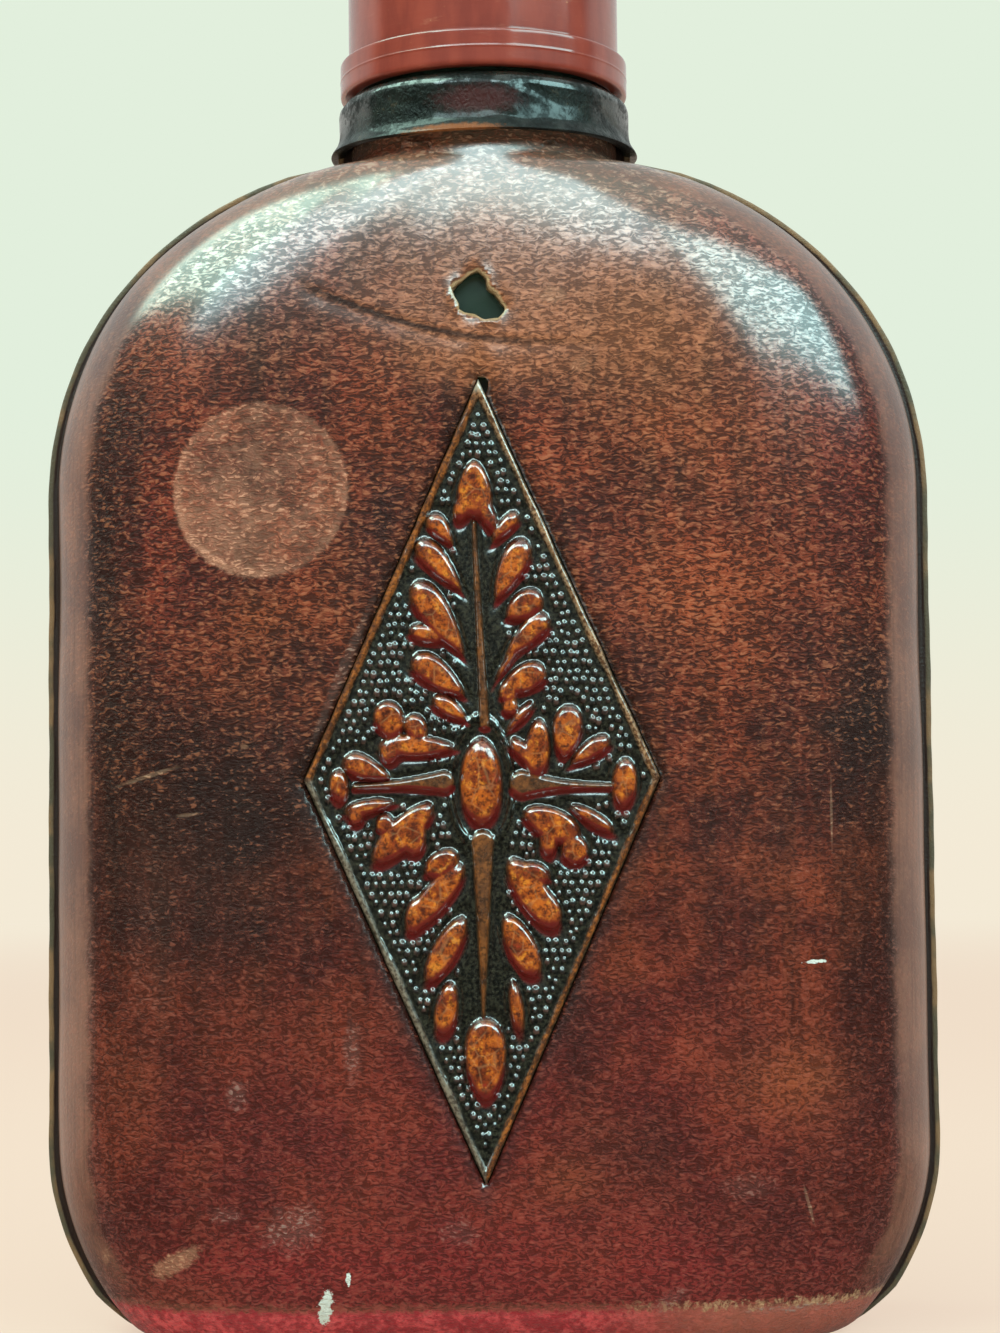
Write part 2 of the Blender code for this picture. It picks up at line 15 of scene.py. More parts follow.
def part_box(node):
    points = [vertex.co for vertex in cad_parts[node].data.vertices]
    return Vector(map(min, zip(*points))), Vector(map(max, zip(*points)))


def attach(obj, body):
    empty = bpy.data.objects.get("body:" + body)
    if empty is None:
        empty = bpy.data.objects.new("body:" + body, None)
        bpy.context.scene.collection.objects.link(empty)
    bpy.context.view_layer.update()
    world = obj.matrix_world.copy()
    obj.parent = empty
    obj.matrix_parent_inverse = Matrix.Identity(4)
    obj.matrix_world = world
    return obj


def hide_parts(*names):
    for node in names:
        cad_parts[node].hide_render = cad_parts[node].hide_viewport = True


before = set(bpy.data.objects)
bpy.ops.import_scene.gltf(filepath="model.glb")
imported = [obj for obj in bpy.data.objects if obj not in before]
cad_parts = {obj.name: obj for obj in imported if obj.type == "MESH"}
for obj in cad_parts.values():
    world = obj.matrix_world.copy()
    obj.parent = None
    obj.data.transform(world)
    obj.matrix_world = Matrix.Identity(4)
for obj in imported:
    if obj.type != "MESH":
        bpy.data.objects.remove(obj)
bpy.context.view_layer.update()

# %% [markdown]
# # Sizes
# The outside sizes of the glass, the cap, the collar and the plaque come from their CAD boxes, so a
# change there reaches this file by itself. The radii of the glass outline aren't in a box, so they are
# written here in millimetres, as the maker of the mould would have them.

# %% Sizes from the CAD, and the outline of the glass
MM = 0.001
CORNER_RADIUS = 24.3 * MM
CORNER_START = 19.6 * MM
HEEL_EDGE_RADIUS = 4.0 * MM
HEEL_DEPTH_RADIUS = 7.0 * MM
SHOULDER_RADIUS = 32.9 * MM
SHOULDER_START = 88.6 * MM
DEPTH_TAPER_START = 94.0 * MM
NECK_RADIUS = 12.8 * MM
NECK_FILLET_RADIUS = 3.2 * MM

glass_low, glass_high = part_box("glass_bottle")
plaque_low, plaque_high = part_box("lozenge_plaque")
cap_low, cap_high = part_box("cap")
liner_low, liner_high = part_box("cap_liner")
cover_low, cover_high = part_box("front_cover")
collar_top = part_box("neck_collar")[1].z

glass_half_width, glass_half_depth = glass_high.x, glass_high.y
base_z, mouth_z = glass_low.z, glass_high.z
cover_offset = -cover_low.y - glass_half_depth
print("glass, mm:", round(2000 * glass_half_width, 1), "wide,", round(1000 * mouth_z, 1), "to its mouth")

# %% Centres and levels that follow from those sizes
corner_x = glass_half_width - CORNER_RADIUS
shoulder_x = glass_half_width - SHOULDER_RADIUS
fillet_x = NECK_RADIUS + NECK_FILLET_RADIUS
fillet_reach = SHOULDER_RADIUS + NECK_FILLET_RADIUS
neck_foot_z = SHOULDER_START + math.sqrt(fillet_reach**2 - (fillet_x - shoulder_x) ** 2)
fillet_start_z = SHOULDER_START + (neck_foot_z - SHOULDER_START) * SHOULDER_RADIUS / fillet_reach
heel_z = base_z + HEEL_EDGE_RADIUS
heel_reach = CORNER_RADIUS - HEEL_EDGE_RADIUS
heel_x = corner_x + math.sqrt(heel_reach**2 - (CORNER_START - heel_z) ** 2)
heel_top_z = CORNER_START - (CORNER_START - heel_z) * CORNER_RADIUS / heel_reach
heel_depth_z = base_z + HEEL_DEPTH_RADIUS
taper_depth = glass_half_depth - NECK_RADIUS
taper_radius = ((neck_foot_z - DEPTH_TAPER_START) ** 2 + taper_depth**2) / (2.0 * taper_depth)
print("foot of the neck at", round(1000 * neck_foot_z, 2), "mm")

# %% [markdown]
# # The body as a function
# The flask is flat in front and behind, round at its sides, and turns into a round neck. One formula
# holds all of that: a level section whose half width and half depth change with height. Worked out for
# whole arrays at once, it gives covers and a bottle that always fit inside each other, because they are
# the same surface moved out or in.

# %% The section formula
def clamp(value):
    """The value, kept between 0 and 1."""
    return np.clip(value, 0.0, 1.0)


def bell(distance, width):
    """1 at no distance, and less beyond: the exponential of minus the squared share of the width."""
    return np.exp(-((distance / width) ** 2))


def arc_reach(centre, radius, drop):
    """How far an arc reaches sideways, at a height that lies a drop away from its centre."""
    return centre + np.sqrt(np.maximum(radius**2 - drop**2, 0.0))


def half_width(z):
    """Half width of the glass: heel arc, corner arc, straight flank, shoulder arc, neck fillet, neck."""
    zones = [z < heel_top_z, z < CORNER_START, z < SHOULDER_START, z < fillet_start_z, z < neck_foot_z]
    reaches = [
        arc_reach(heel_x, HEEL_EDGE_RADIUS, heel_z - z),
        arc_reach(corner_x, CORNER_RADIUS, CORNER_START - z),
        np.full_like(z, glass_half_width),
        arc_reach(shoulder_x, SHOULDER_RADIUS, z - SHOULDER_START),
        2.0 * fillet_x - arc_reach(fillet_x, NECK_FILLET_RADIUS, neck_foot_z - z),
    ]
    return np.select(zones, reaches, NECK_RADIUS)


def half_depth(z):
    """Half depth of the glass: rounded heel, straight face, and one long arc that leans in to the neck."""
    heel = arc_reach(glass_half_depth - HEEL_DEPTH_RADIUS, HEEL_DEPTH_RADIUS, heel_depth_z - z)
    lean = arc_reach(glass_half_depth - taper_radius, taper_radius, np.maximum(z - DEPTH_TAPER_START, 0.0))
    return np.select([z < heel_depth_z, z < neck_foot_z], [heel, lean], NECK_RADIUS)


def section_level(x, y, z):
    """Zero on the glass and above zero outside it.

    The share of the half width, to a power of twice the width over the depth, plus the square of the
    share of the half depth, less one.
    """
    a, b = half_width(z), half_depth(z)
    return (np.abs(x) / a) ** (2.0 * a / b) + (y / b) ** 2 - 1.0


# %% A point on the glass, or outside it by an offset
PROBE = 1e-7


def glass_skin(turn, z, offset):
    """Points on the body, moved square to the glass by an offset.

    The turn is 0 at the middle of the front and a quarter circle at the right side. Across is the half
    width times the sine of the turn, the depth is what the section formula leaves, and the direction of
    the offset is the slope of that formula.
    """
    turn, z, offset = np.broadcast_arrays(turn, z, offset)
    z = np.maximum(z, base_z + 10.0 * PROBE)
    a, b = half_width(z), half_depth(z)
    across = np.sin(turn)
    y = -np.sign(np.cos(turn)) * b * np.sqrt(np.maximum(1.0 - np.abs(across) ** (2.0 * a / b), 0.0))
    point = np.stack([a * across, y, z], axis=-1)
    probes = PROBE * np.eye(3)
    slope = np.stack([section_level(*np.moveaxis(point + probe, -1, 0))
                      - section_level(*np.moveaxis(point - probe, -1, 0)) for probe in probes], axis=-1)
    slope /= np.linalg.norm(slope, axis=-1, keepdims=True)
    return point + offset[..., None] * slope


# %% Heights of the rows, closer where the body turns
SHOULDER_CROWN = 112.5 * MM
SHOULDER_FOOT = 95.0 * MM


def run(start, stop, step):
    """Evenly spaced values from start towards stop, about a step apart, without the last one."""
    count = max(2, int(round(abs(stop - start) / step)) + 1)
    return np.linspace(start, stop, count)[:-1]


def body_rows(fineness):
    """Heights down the body from the neck to the base; a fineness of 1 gives about 0.5 mm steps."""
    step = 0.5 * MM / fineness
    bow = math.asin((neck_foot_z - fillet_start_z) / NECK_FILLET_RADIUS)
    fillet = neck_foot_z - NECK_FILLET_RADIUS * np.sin(np.linspace(0.0, 1.0, 2 + int(8 * fineness)) * bow)
    quarter = np.linspace(math.pi / 2.0, 0.0, 3 + int(14 * fineness))
    return np.concatenate([
        run(cover_high.z, neck_foot_z, step),
        fillet[:-1],
        run(fillet_start_z, SHOULDER_CROWN, 1.3 * step),
        run(SHOULDER_CROWN, SHOULDER_FOOT, 0.8 * step),
        run(SHOULDER_FOOT, CORNER_START, 1.25 * step),
        run(CORNER_START, heel_depth_z, 1.2 * step),
        base_z + HEEL_DEPTH_RADIUS * (1.0 - np.cos(quarter)),
    ])


print(len(body_rows(1.0)), "rows in the fine cover,", len(body_rows(0.4)), "in the plain one")

# %% [markdown]
# # From a grid of points to a piece
# A surface on a grid takes the same few steps each time: number the faces, fill a mesh, weld its joints
# and poles, and turn its faces outwards. A piece also rides on the body it moves with, hides the CAD
# node it stands for and wears its materials.

# %% Faces and meshes
def grid_faces(rows, columns, wrap_rows=False, wrap_columns=False):
    """Four-sided faces over a grid of points, joined round where a direction wraps."""
    number = np.arange(rows * columns).reshape(rows, columns)
    if wrap_rows:
        number = np.concatenate([number, number[:1]], axis=0)
    if wrap_columns:
        number = np.concatenate([number, number[:, :1]], axis=1)
    corners = [number[:-1, :-1], number[:-1, 1:], number[1:, 1:], number[1:, :-1]]
    return np.stack([c.ravel() for c in corners], axis=-1)


def mesh_from(name, points, faces, **masks):
    """A mesh from points and faces, with a number per point for each mask that its material reads."""
    mesh = bpy.data.meshes.new(name)
    mesh.from_pydata(points.reshape(-1, 3).tolist(), [], faces if isinstance(faces, list) else faces.tolist())
    mesh.update()
    for mask, values in masks.items():
        layer = mesh.attributes.new(mask, "FLOAT", "POINT")
        layer.data.foreach_set("value", np.ascontiguousarray(values, dtype=np.float32).ravel())
    return mesh


def weld(mesh, join=0.002 * MM, outwards=True):
    """Drop unused points, join those that lie together, and turn a closed skin's faces outwards."""
    work = bmesh.new()
    work.from_mesh(mesh)
    bmesh.ops.delete(work, geom=[v for v in work.verts if not v.link_faces], context="VERTS")
    if join:
        bmesh.ops.remove_doubles(work, verts=work.verts, dist=join)
        bmesh.ops.dissolve_degenerate(work, edges=work.edges, dist=join / 2.0)
    if outwards:
        bmesh.ops.recalc_face_normals(work, faces=work.faces)
    work.to_mesh(mesh)
    work.free()
    return mesh


# %% Add a piece to the flask
def add_object(name, data):
    """A new object in the scene for a mesh, a lamp or a camera."""
    thing = bpy.data.objects.new(name, data)
    bpy.context.scene.collection.objects.link(thing)
    return thing


def add_piece(mesh, body, node, materials, sharp=40.0):
    """Add a finished mesh as a piece: it rides on a body, hides the CAD node it replaces and wears its
    materials.
    """
    piece = add_object(mesh.name, mesh)
    for material in materials:
        mesh.materials.append(material)
    mesh.shade_smooth()
    mesh.set_sharp_from_angle(angle=math.radians(sharp))
    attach(piece, body)
    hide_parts(node)
    print(f"{piece.name}: {sum(len(p.vertices) - 2 for p in mesh.polygons)} triangles before modifiers")
    return piece


# %% [markdown]
# # Writing materials as sums
# A node material is arithmetic on sockets. Wrapping a socket in a small class lets Python's own plus and
# times signs add the Math nodes, so a finish reads like the recipe it is. Colours go through Mix nodes,
# because a Math node would turn them grey.

# %% One class for a socket, one function for a node
class Wire:
    """A node's output that adds, subtracts and multiplies like a number."""

    def __init__(self, socket):
        self.socket = socket
        self.tree = socket.id_data

    def maths(self, operation, *values):
        return node(self.tree, "Math", dict(enumerate(values)), operation=operation)

    def __add__(self, other):
        return self.maths("ADD", self, other)

    def __radd__(self, other):
        return self.maths("ADD", other, self)

    def __sub__(self, other):
        return self.maths("SUBTRACT", self, other)

    def __rsub__(self, other):
        return self.maths("SUBTRACT", other, self)

    def __mul__(self, other):
        return self.maths("MULTIPLY", self, other)

    def __rmul__(self, other):
        return self.maths("MULTIPLY", other, self)

    def step(self, low, high):
        """0 below low and 1 above high, with a smooth rise between; low may be the greater."""
        values = {"Value": self, "From Min": low, "From Max": high}
        return node(self.tree, "MapRange", values, interpolation_type="SMOOTHSTEP")


def feed(socket, value):
    """Give a socket a wire or a value; a colour is written as it is read off a screen, 0 to 255."""
    if isinstance(value, Wire):
        value.tree.links.new(value.socket, socket)
    elif socket.type == "RGBA":
        shares = np.array(value) / 255.0
        linear = np.where(shares <= 0.04045, shares / 12.92, ((shares + 0.055) / 1.055) ** 2.4)
        socket.default_value = (*linear.tolist(), 1.0)
    else:
        socket.default_value = value


def node(tree, kind, values=(), output=0, **settings):
    """Add a node: its settings first, then a value or a wire for each named or numbered socket."""
    made = tree.nodes.new("ShaderNode" + kind)
    for key, value in settings.items():
        setattr(made, key, value)
    for key, value in dict(values).items():
        feed(made.inputs[key], value)
    return Wire(made.outputs[output])


# %% Mixes, places and patterns
def mix(share, first, second):
    """Blend two colours by a share from 0 to 1."""
    return node(share.tree, "Mix", {"Factor": share, 6: first, 7: second}, 2, data_type="RGBA")


def layered(colour, *layers):
    """Lay further colours over a first one, each by its own share."""
    for share, shade in layers:
        colour = mix(share, colour, shade)
    return colour


def axis(place, letter):
    """One of the three numbers of a place."""
    return node(place.tree, "SeparateXYZ", {0: place}, letter)


def stretch(place, scales):
    """Scale a place along its three axes, so that a pattern on it becomes finer or longer."""
    return node(place.tree, "VectorMath", {0: place, 1: scales}, operation="MULTIPLY")


def cloud(place, scale, detail=2.0, rough=0.5):
    """Soft seeded noise from 0 to 1."""
    values = {"Vector": place, "Scale": scale, "Detail": detail, "Roughness": rough}
    return node(place.tree, "TexNoise", values, "Fac")


def cells(place, feature):
    """Distance to the middle or the edge of cells round scattered points, one to a unit."""
    return node(place.tree, "TexVoronoi", {"Vector": place, "Scale": 1.0}, "Distance", feature=feature)


def painted(place, name):
    """A mask that a piece stores at its points."""
    return node(place.tree, "Attribute", (), "Fac", attribute_name=name)


def new_finish(name):
    """A material, its Principled shader, and the place in millimetres."""
    material = bpy.data.materials.new(name)
    material.use_nodes = True
    place = node(material.node_tree, "TexCoord", (), "Object")
    return material, material.node_tree.nodes["Principled BSDF"], stretch(place, (1.0 / MM,) * 3)


def finish(shader, colour, roughness, height=None, depth=0.1 * MM, **others):
    """Give a shader its colour, roughness and bump of a real depth, and its other inputs by name."""
    for name, value in {"Base_Color": colour, "Roughness": roughness, **others}.items():
        feed(shader.inputs[name.replace("_", " ")], value)
    if height is not None:
        feed(shader.inputs["Normal"],
             node(height.tree, "Bump", {"Height": height, "Distance": depth, "Strength": 1.0}))


# %% [markdown]
# # The cover leather
# The covers look like thin calf leather, moulded over the glass, dyed mahogany and polished. The dye
# lies in streaks, the grain is pulled sideways into short pebbles, the top is worn pale, the foot is
# red and the sides are dark. Noise and cells in real millimetres give the same grain on every side,
# at any distance.

# %% Marks that only the front carries, in millimetres
# Each is across, up, half length, half breadth, lean in degrees, and strength where it isn't 1
LABEL_MARK = (-23, 87, 8.9, 8.9, 0)
LABEL_WEAR = (-27.5, 82.5, 8, 7, 0)
RAW_SCUFFS = [
    (-32, 9.4, 3.6, 1.2, 28, 1),
    (-39.7, 9.4, 0.6, 1.1, 0, 0.9),
    (6.9, 106.8, 1.7, 1.1, 0, 0.5),
    (9.5, 99.5, 1.2, 0.8, 20, 0.35),
    (-24.8, 61, 0.5, 0.35, 0, 0.7),
]
PALE_SMUDGES = [
    (-20.1, 12.9, 3.4, 2.4, 20, 0.75),
    (-26.8, 14.2, 1.8, 0.9, 0, 0.5),
    (-14.1, 30.5, 1, 3.6, 0, 0.6),
    (-25.7, 26.2, 1.2, 1.7, 0, 0.6),
    (-3.6, 12.4, 2.2, 1.6, 0, 0.4),
    (25.3, 16.6, 3, 1.6, 0, 0.35),
    (17.4, 5.4, 2.2, 1, 30, 0.6),
    (-34.5, 42, 3, 12, 0, 0.10),
    (-15, 68, 0.6, 8.5, -23.4, 0.8),
    (30.5, 4.1, 6, 0.5, 0, 0.9),
]
WHITE_FLECKS = [
    (-17, 4.9, 0.75, 1.9, -10),
    (-14.6, 7.9, 0.25, 0.7, 0),
    (32.6, 38.8, 1.15, 0.2, 3),
]
SCRATCHES = [
    (-34.6, 58.2, 4, 0.28, 16),
    (-30.6, 54.2, 1.2, 0.22, 5),
    (31.5, 14.5, 0.2, 2.2, 15),
    (34.5, 53.8, 0.16, 4, 0),
]


# %% Masks for those marks
def patch(place, mark, ragged):
    """Distance from a mark's middle, as a share of its size, made ragged by noise."""
    across, up, long, broad, lean = mark[:5]
    values = {
        "Vector": place,
        "Location": (across, 0.0, up),
        "Rotation": (0.0, -math.radians(lean), 0.0),
        "Scale": (long, 1000.0, broad),
    }
    local = node(place.tree, "Mapping", values, vector_type="TEXTURE")
    return node(place.tree, "VectorMath", {0: local}, "Value", operation="LENGTH") + ragged


def all_marks(place, marks, ragged, low, high):
    """The strongest of several marks at each place, 1 inside and 0 outside."""
    total = None
    for mark in marks:
        mask = patch(place, mark, ragged).step(high, low) * (mark[5] if len(mark) > 5 else 1.0)
        total = mask if total is None else total.maths("MAXIMUM", total, mask)
    return total


# %% The pebbled grain
def pebbles(place, long, tall):
    """Height of the grain from 0 in its valleys to 1 on its pebbles, each about long by tall in mm.

    The distance to the edge of cells, on a place squeezed to the pebbles' size and shaken by noise,
    rises out of each valley; a warped noise makes it wavy, and finer noise roughens the tops.
    """
    shake = node(place.tree, "TexNoise", {"Vector": place, "Scale": 0.9, "Detail": 2.0}, "Color")
    shaken = node(place.tree, "Mix", {"Factor": 0.30, 6: place, 7: shake}, 2,
                  data_type="RGBA", blend_type="LINEAR_LIGHT")
    squeezed = stretch(shaken, (1.0 / long, 1.0 / long, 1.0 / tall))
    swell = cells(squeezed, "DISTANCE_TO_EDGE").step(0.0, 0.45)
    values = {"Vector": squeezed, "Scale": 0.9, "Detail": 2.0, "Roughness": 0.6, "Distortion": 1.2}
    wavy = node(place.tree, "TexNoise", values, "Fac").step(0.28, 0.72)
    return swell * 0.30 + wavy * 0.60 + cloud(place, 4.5, 2.0, 0.6) * 0.10


# %% The front's marks over its colour
def marked(place, colour, fine, crest):
    """The colour with its marks: painted shadow line of the crease, label disc, smudges, scuffs, scratches,
    flecks, torn rim.

    Returned with how much they dull the polish. The disc is worn most at its lower left, and most marks
    keep to the crests of the grain.
    """
    across, level, shake = axis(place, "X"), axis(place, "Z"), fine - 0.5
    off = level - (across - 6.0) * (across - 6.0) * 0.0105 - 101.85 + shake * 0.4
    # A dark line painted along the crease: the painted shadow of the fold.
    line = off.step(-0.40, 0.0) * off.step(0.50, 0.15) * across.step(-19.5, -15.0) * across.step(14.0, -6.0)
    disc = patch(place, LABEL_MARK, shake * 0.12)
    ring = disc.step(0.86, 0.97) * disc.step(1.04, 0.99)
    low_left = patch(place, LABEL_WEAR, shake * 0.8).step(1.2, 0.4)
    patchy = cloud(place, 0.55, 4.0, 0.7).step(0.40, 0.62)
    disc_wear = disc.step(1.02, 0.97) * (0.26 + 0.46 * patchy + 0.30 * low_left)
    disc_wear = (disc_wear + ring * (0.25 + 0.35 * low_left)) * (0.35 + 0.65 * crest)
    ragged = (cloud(place, 1.3, 4.0, 0.7) - 0.5) * 1.3
    smudge = all_marks(place, PALE_SMUDGES, ragged * 1.3, 0.35, 1.2) * (0.15 + 0.85 * crest)
    raw = all_marks(place, RAW_SCUFFS, ragged, 0.55, 1.0) * (0.4 + 0.6 * crest)
    lines = all_marks(place, SCRATCHES, ragged * 0.8, 0.5, 1.1) * (0.3 + 0.7 * crest)
    white = all_marks(place, WHITE_FLECKS, (cloud(place, 1.5, 4.0, 0.7) - 0.5) * 2.4, 0.8, 1.0)
    colour = layered(
        colour,
        # painted shadow of the crease
        (line * 0.85, (44, 20, 16)),
        (disc_wear, (220, 152, 124)),
        (smudge * 0.8, (164, 140, 132)),
        (raw * 0.9, (204, 144, 112)),
        (lines * 0.7, (196, 150, 122)),
        (white, (226, 226, 222)),
        ((painted(place, "rim") + shake * 0.5).step(0.45, 0.9) * 0.75, (196, 160, 120)),
    )
    return colour, (disc_wear + smudge + raw + white) * 0.2


# %% The cover finish
def cover_finish(name, with_marks):
    """Mahogany calf leather: streaked dye, pebbled grain with crests painted lighter and valleys darker, partly
    as painted light and shade, worn top, a painted sheen at the neck and on the smooth roll, red foot and
    darker sides.
    """
    material, shader, place = new_finish(name)
    across, level = axis(place, "X"), axis(place, "Z")
    streaks = cloud(stretch(place, (0.50, 0.50, 0.03)), 1.0, 4.0, 0.6)
    thin_streaks = cloud(stretch(place, (1.6, 1.6, 0.08)), 1.0, 3.0, 0.6)
    blotches = cloud(place, 0.11, 4.0, 0.55)
    fine = cloud(place, 1.6, 4.0, 0.65)
    shake = fine - 0.5
    long_grain = pebbles(place, 1.05, 0.43)
    round_grain = pebbles(place, 0.84, 0.46)
    low_part = level.step(70.0, 30.0)
    grain = long_grain + (round_grain - long_grain) * low_part
    crest = grain.step(0.52, 0.76)
    neck = level.step(113.0, 119.0)
    worn = (painted(place, "worn") + shake * 0.4 + (streaks - 0.5) * 0.3).step(0.10, 1.0)
    shine = 0.45 + 0.10 * worn + shake * 0.2

    to_right = (across + shake * 8.0).step(8.0, 24.0)
    frayed = level + shake * 2.4
    torn = cloud(stretch(place, (1.1, 1.1, 0.4)), 1.0, 3.0, 0.7).step(0.44, 0.60)
    fringe = frayed.step(4.1, 4.6) * frayed.step(5.4, 4.9) * (0.08 + 0.72 * to_right * torn)
    red_foot = mix((fine * streaks).step(0.18, 0.34), (170, 40, 50), (230, 80, 86))
    colour = layered(
        mix(blotches.step(0.38, 0.62), (98, 32, 18), (144, 56, 30)),
        (streaks.step(0.42, 0.66) * 0.85, (54, 19, 15)),
        ((blotches * streaks).step(0.20, 0.36) * 0.40, (168, 72, 32)),
        (painted(place, "red") * (0.7 + 0.3 * fine), (172, 38, 36)),
        (painted(place, "orange") * (0.5 + 0.5 * fine), (188, 88, 44)),
        (painted(place, "dark") * (0.75 + 0.25 * streaks), (38, 22, 20)),
        (worn * 0.75, (168, 100, 64)),
        (thin_streaks.step(0.45, 0.75) * 0.35, (38, 15, 11)),
        (level.step(46.0, 10.0) * 0.40, (104, 32, 34)),
        # Valleys painted darker and crests lighter: partly dye and rubbing, partly painted shade and painted
        # light on the grain.
        (grain.step(0.50, 0.28) * (0.80 - 0.20 * worn - 0.22 * low_part), (40, 14, 9)),
        (crest * (0.34 + 0.14 * worn - 0.06 * low_part), mix(low_part, (218, 130, 88), (184, 88, 68))),
        # A whitish band under the collar: painted sheen with some wear, strongest on the crests.
        (neck * (0.15 + 0.30 * crest), (186, 170, 150)),
        (frayed.step(4.9, 4.0) * 0.95, mix(to_right * 0.75, red_foot, (176, 104, 84))),
        (fringe, (208, 160, 122)),
    )
    if with_marks:
        colour, dulled = marked(place, colour, fine, crest)
        shine = shine + dulled

    smooth_side = painted(place, "side")
    # The smooth roll beside the seam is greyer: partly leather rubbed smooth, partly a painted sheen.
    roll_colour_and_sheen = layered(
        mix((blotches + shake * 0.4).step(0.35, 0.62), (104, 58, 46), (136, 86, 68)),
        (thin_streaks.step(0.42, 0.70) * 0.5, (78, 42, 34)),
    )
    polish = 0.42 + 0.58 * grain.step(0.30, 0.64)
    polish = polish + (0.95 - polish) * neck * 0.5
    polish = polish + (0.6 - polish) * smooth_side
    finish(shader, mix(smooth_side * 0.72, colour, roll_colour_and_sheen), shine, grain * (1.0 - 0.78 * smooth_side),
           0.20 * MM, Specular_IOR_Level=0.12, Coat_Weight=polish, Coat_Roughness=0.21, Coat_IOR=2.3)
    return material


front_finish = cover_finish("mahogany leather, front", True)
rear_finish = cover_finish("mahogany leather, rear", False)
print("cover leather:", len(front_finish.node_tree.nodes), "nodes in front,",
      len(rear_finish.node_tree.nodes), "behind")

# %% The cut edge of the leather
raw_edge, shader, place = new_finish("raw leather edge")
fibres = cloud(stretch(place, (3.0, 3.0, 3.0)), 1.0, 4.0, 0.7)
finish(shader, mix(fibres.step(0.3, 0.7), (96, 62, 44), (196, 158, 116)), 0.8, fibres, 0.12 * MM)

# %% [markdown]
# # Openings in the front cover
# The lozenge window frames the embossed plaque, and above it the leather has torn through to the glass.
# A Boolean would leave slivers that catch the light. Here the grid's own points are drawn to each
# outline before the faces inside are dropped, so the edges stay clean and the mesh even.

# %% Outlines of the openings, in millimetres
WINDOW_CLEARANCE = 0.1
TORN_MIDDLE = (-0.6, 106.6)
# Across and up from the middle of the tear, clockwise from its top
TORN_EDGE = [
    (-0.23, 2.84), (0.52, 2.31), (0.87, 1.85), (0.81, 1.27), (1.27, 0.81), (1.85, 0.35),
    (2.03, -0.23), (2.43, -0.81), (2.66, -1.27), (2.37, -1.74), (1.97, -2.20), (0.46, -2.43),
    (-0.12, -2.03), (-0.58, -1.74), (-1.50, -1.62), (-2.08, -1.27), (-2.08, -0.64), (-2.60, 0.12),
    (-2.89, 0.93), (-2.31, 1.50), (-1.68, 1.79), (-0.93, 2.43),
]
# The gap beside the window's upper tip: across, up, half across, half up
TIP_GAP = (-0.25, 97.5, 0.5, 0.8)

plaque_half_width = (plaque_high.x - plaque_low.x) / 2.0
plaque_x = (plaque_high.x + plaque_low.x) / 2.0
plaque_half_height = (plaque_high.z - plaque_low.z) / 2.0
plaque_z = (plaque_high.z + plaque_low.z) / 2.0


def lozenge_distance(x, z):
    """Distance outside the plaque's outline, below zero inside: the shares of both half sizes added."""
    share = np.abs(x - plaque_x) / plaque_half_width + np.abs(z - plaque_z) / plaque_half_height
    return (share - 1.0) / math.hypot(1.0 / plaque_half_width, 1.0 / plaque_half_height)


def tear_distance(x, z):
    """Distance outside the torn edge, below zero inside: the nearest side of a closed line of points."""
    corners = (np.array(TORN_EDGE) + np.array(TORN_MIDDLE)) * MM
    points = np.stack([x, z], axis=-1)
    nearest = np.full(x.shape, 1.0)
    inside = np.zeros(x.shape, dtype=bool)
    for start, end in zip(corners, np.roll(corners, -1, axis=0)):
        side = end - start
        share = clamp(((points - start) @ side) / (side @ side))
        nearest = np.minimum(nearest, np.linalg.norm(points - start - share[..., None] * side, axis=-1))
        reach = start[0] + (z - start[1]) * side[0] / (side[1] if side[1] else 1.0)
        inside ^= ((start[1] > z) != (end[1] > z)) & (x < reach)
    return np.where(inside, -nearest, nearest)


def opening_distance(x, z):
    """Distance outside the nearest opening: window, torn hole, or the gap beside the window's tip."""
    across, up, half_across, half_up = (value * MM for value in TIP_GAP)
    gap = (np.hypot((x - across) / half_across, (z - up) / half_up) - 1.0) * min(half_across, half_up)
    window = lozenge_distance(x, z) - WINDOW_CLEARANCE * MM
    return np.minimum(np.minimum(window, gap), tear_distance(x, z))


# %% [markdown]
# # The moulded surface
# Moulded leather is never quite even. It swells over the flat of the glass, sinks round the plaque,
# lifts where it is torn, creases under the tear, and folds where it is gathered at the neck. Each is a
# small height added square to the surface.

# %% Swells, creases and folds
# Radians per mm across and up, start in radians, height in mm
SWELLS = [(0.21, 0.07, 1.3, 0.07), (-0.13, 0.17, 4.1, 0.06), (0.34, -0.11, 2.2, 0.04), (0.09, 0.29, 5.2, 0.04)]
# Across, depth and width in mm
NECK_FOLDS = [(-9.5, 0.14, 2.3), (-3.5, 0.08, 1.9), (6, 0.08, 2.1), (12, 0.09, 2)]


def swell(x, z):
    """Gentle swells in metres: a sum of slanted waves."""
    return sum(size * MM * np.sin(across * x / MM + up * z / MM + start) for across, up, start, size in SWELLS)


def crease(x, z):
    """A bowed fold below the tear, with the share of its painted shadow line and of the smooth band under it.

    The leather drops in a steep line and comes back gently below, like a wave in a sheet.
    """
    x, z = x / MM, z / MM
    off = z - (101.8 + 0.0105 * (x - 6.0) ** 2 + 0.12 * np.sin(0.45 * x))
    ends = clamp((x + 19.5) / 2.0) * clamp((14.0 - x) / 14.0) ** 0.6
    fold = bell(off, np.where(off > 0.0, 0.25, 1.3))
    band = bell(off + 1.0, 0.8) * clamp((1.0 - x) / 12.0)
    return -0.07 * MM * ends * fold, ends * bell(off - 0.05, 0.38), ends * band


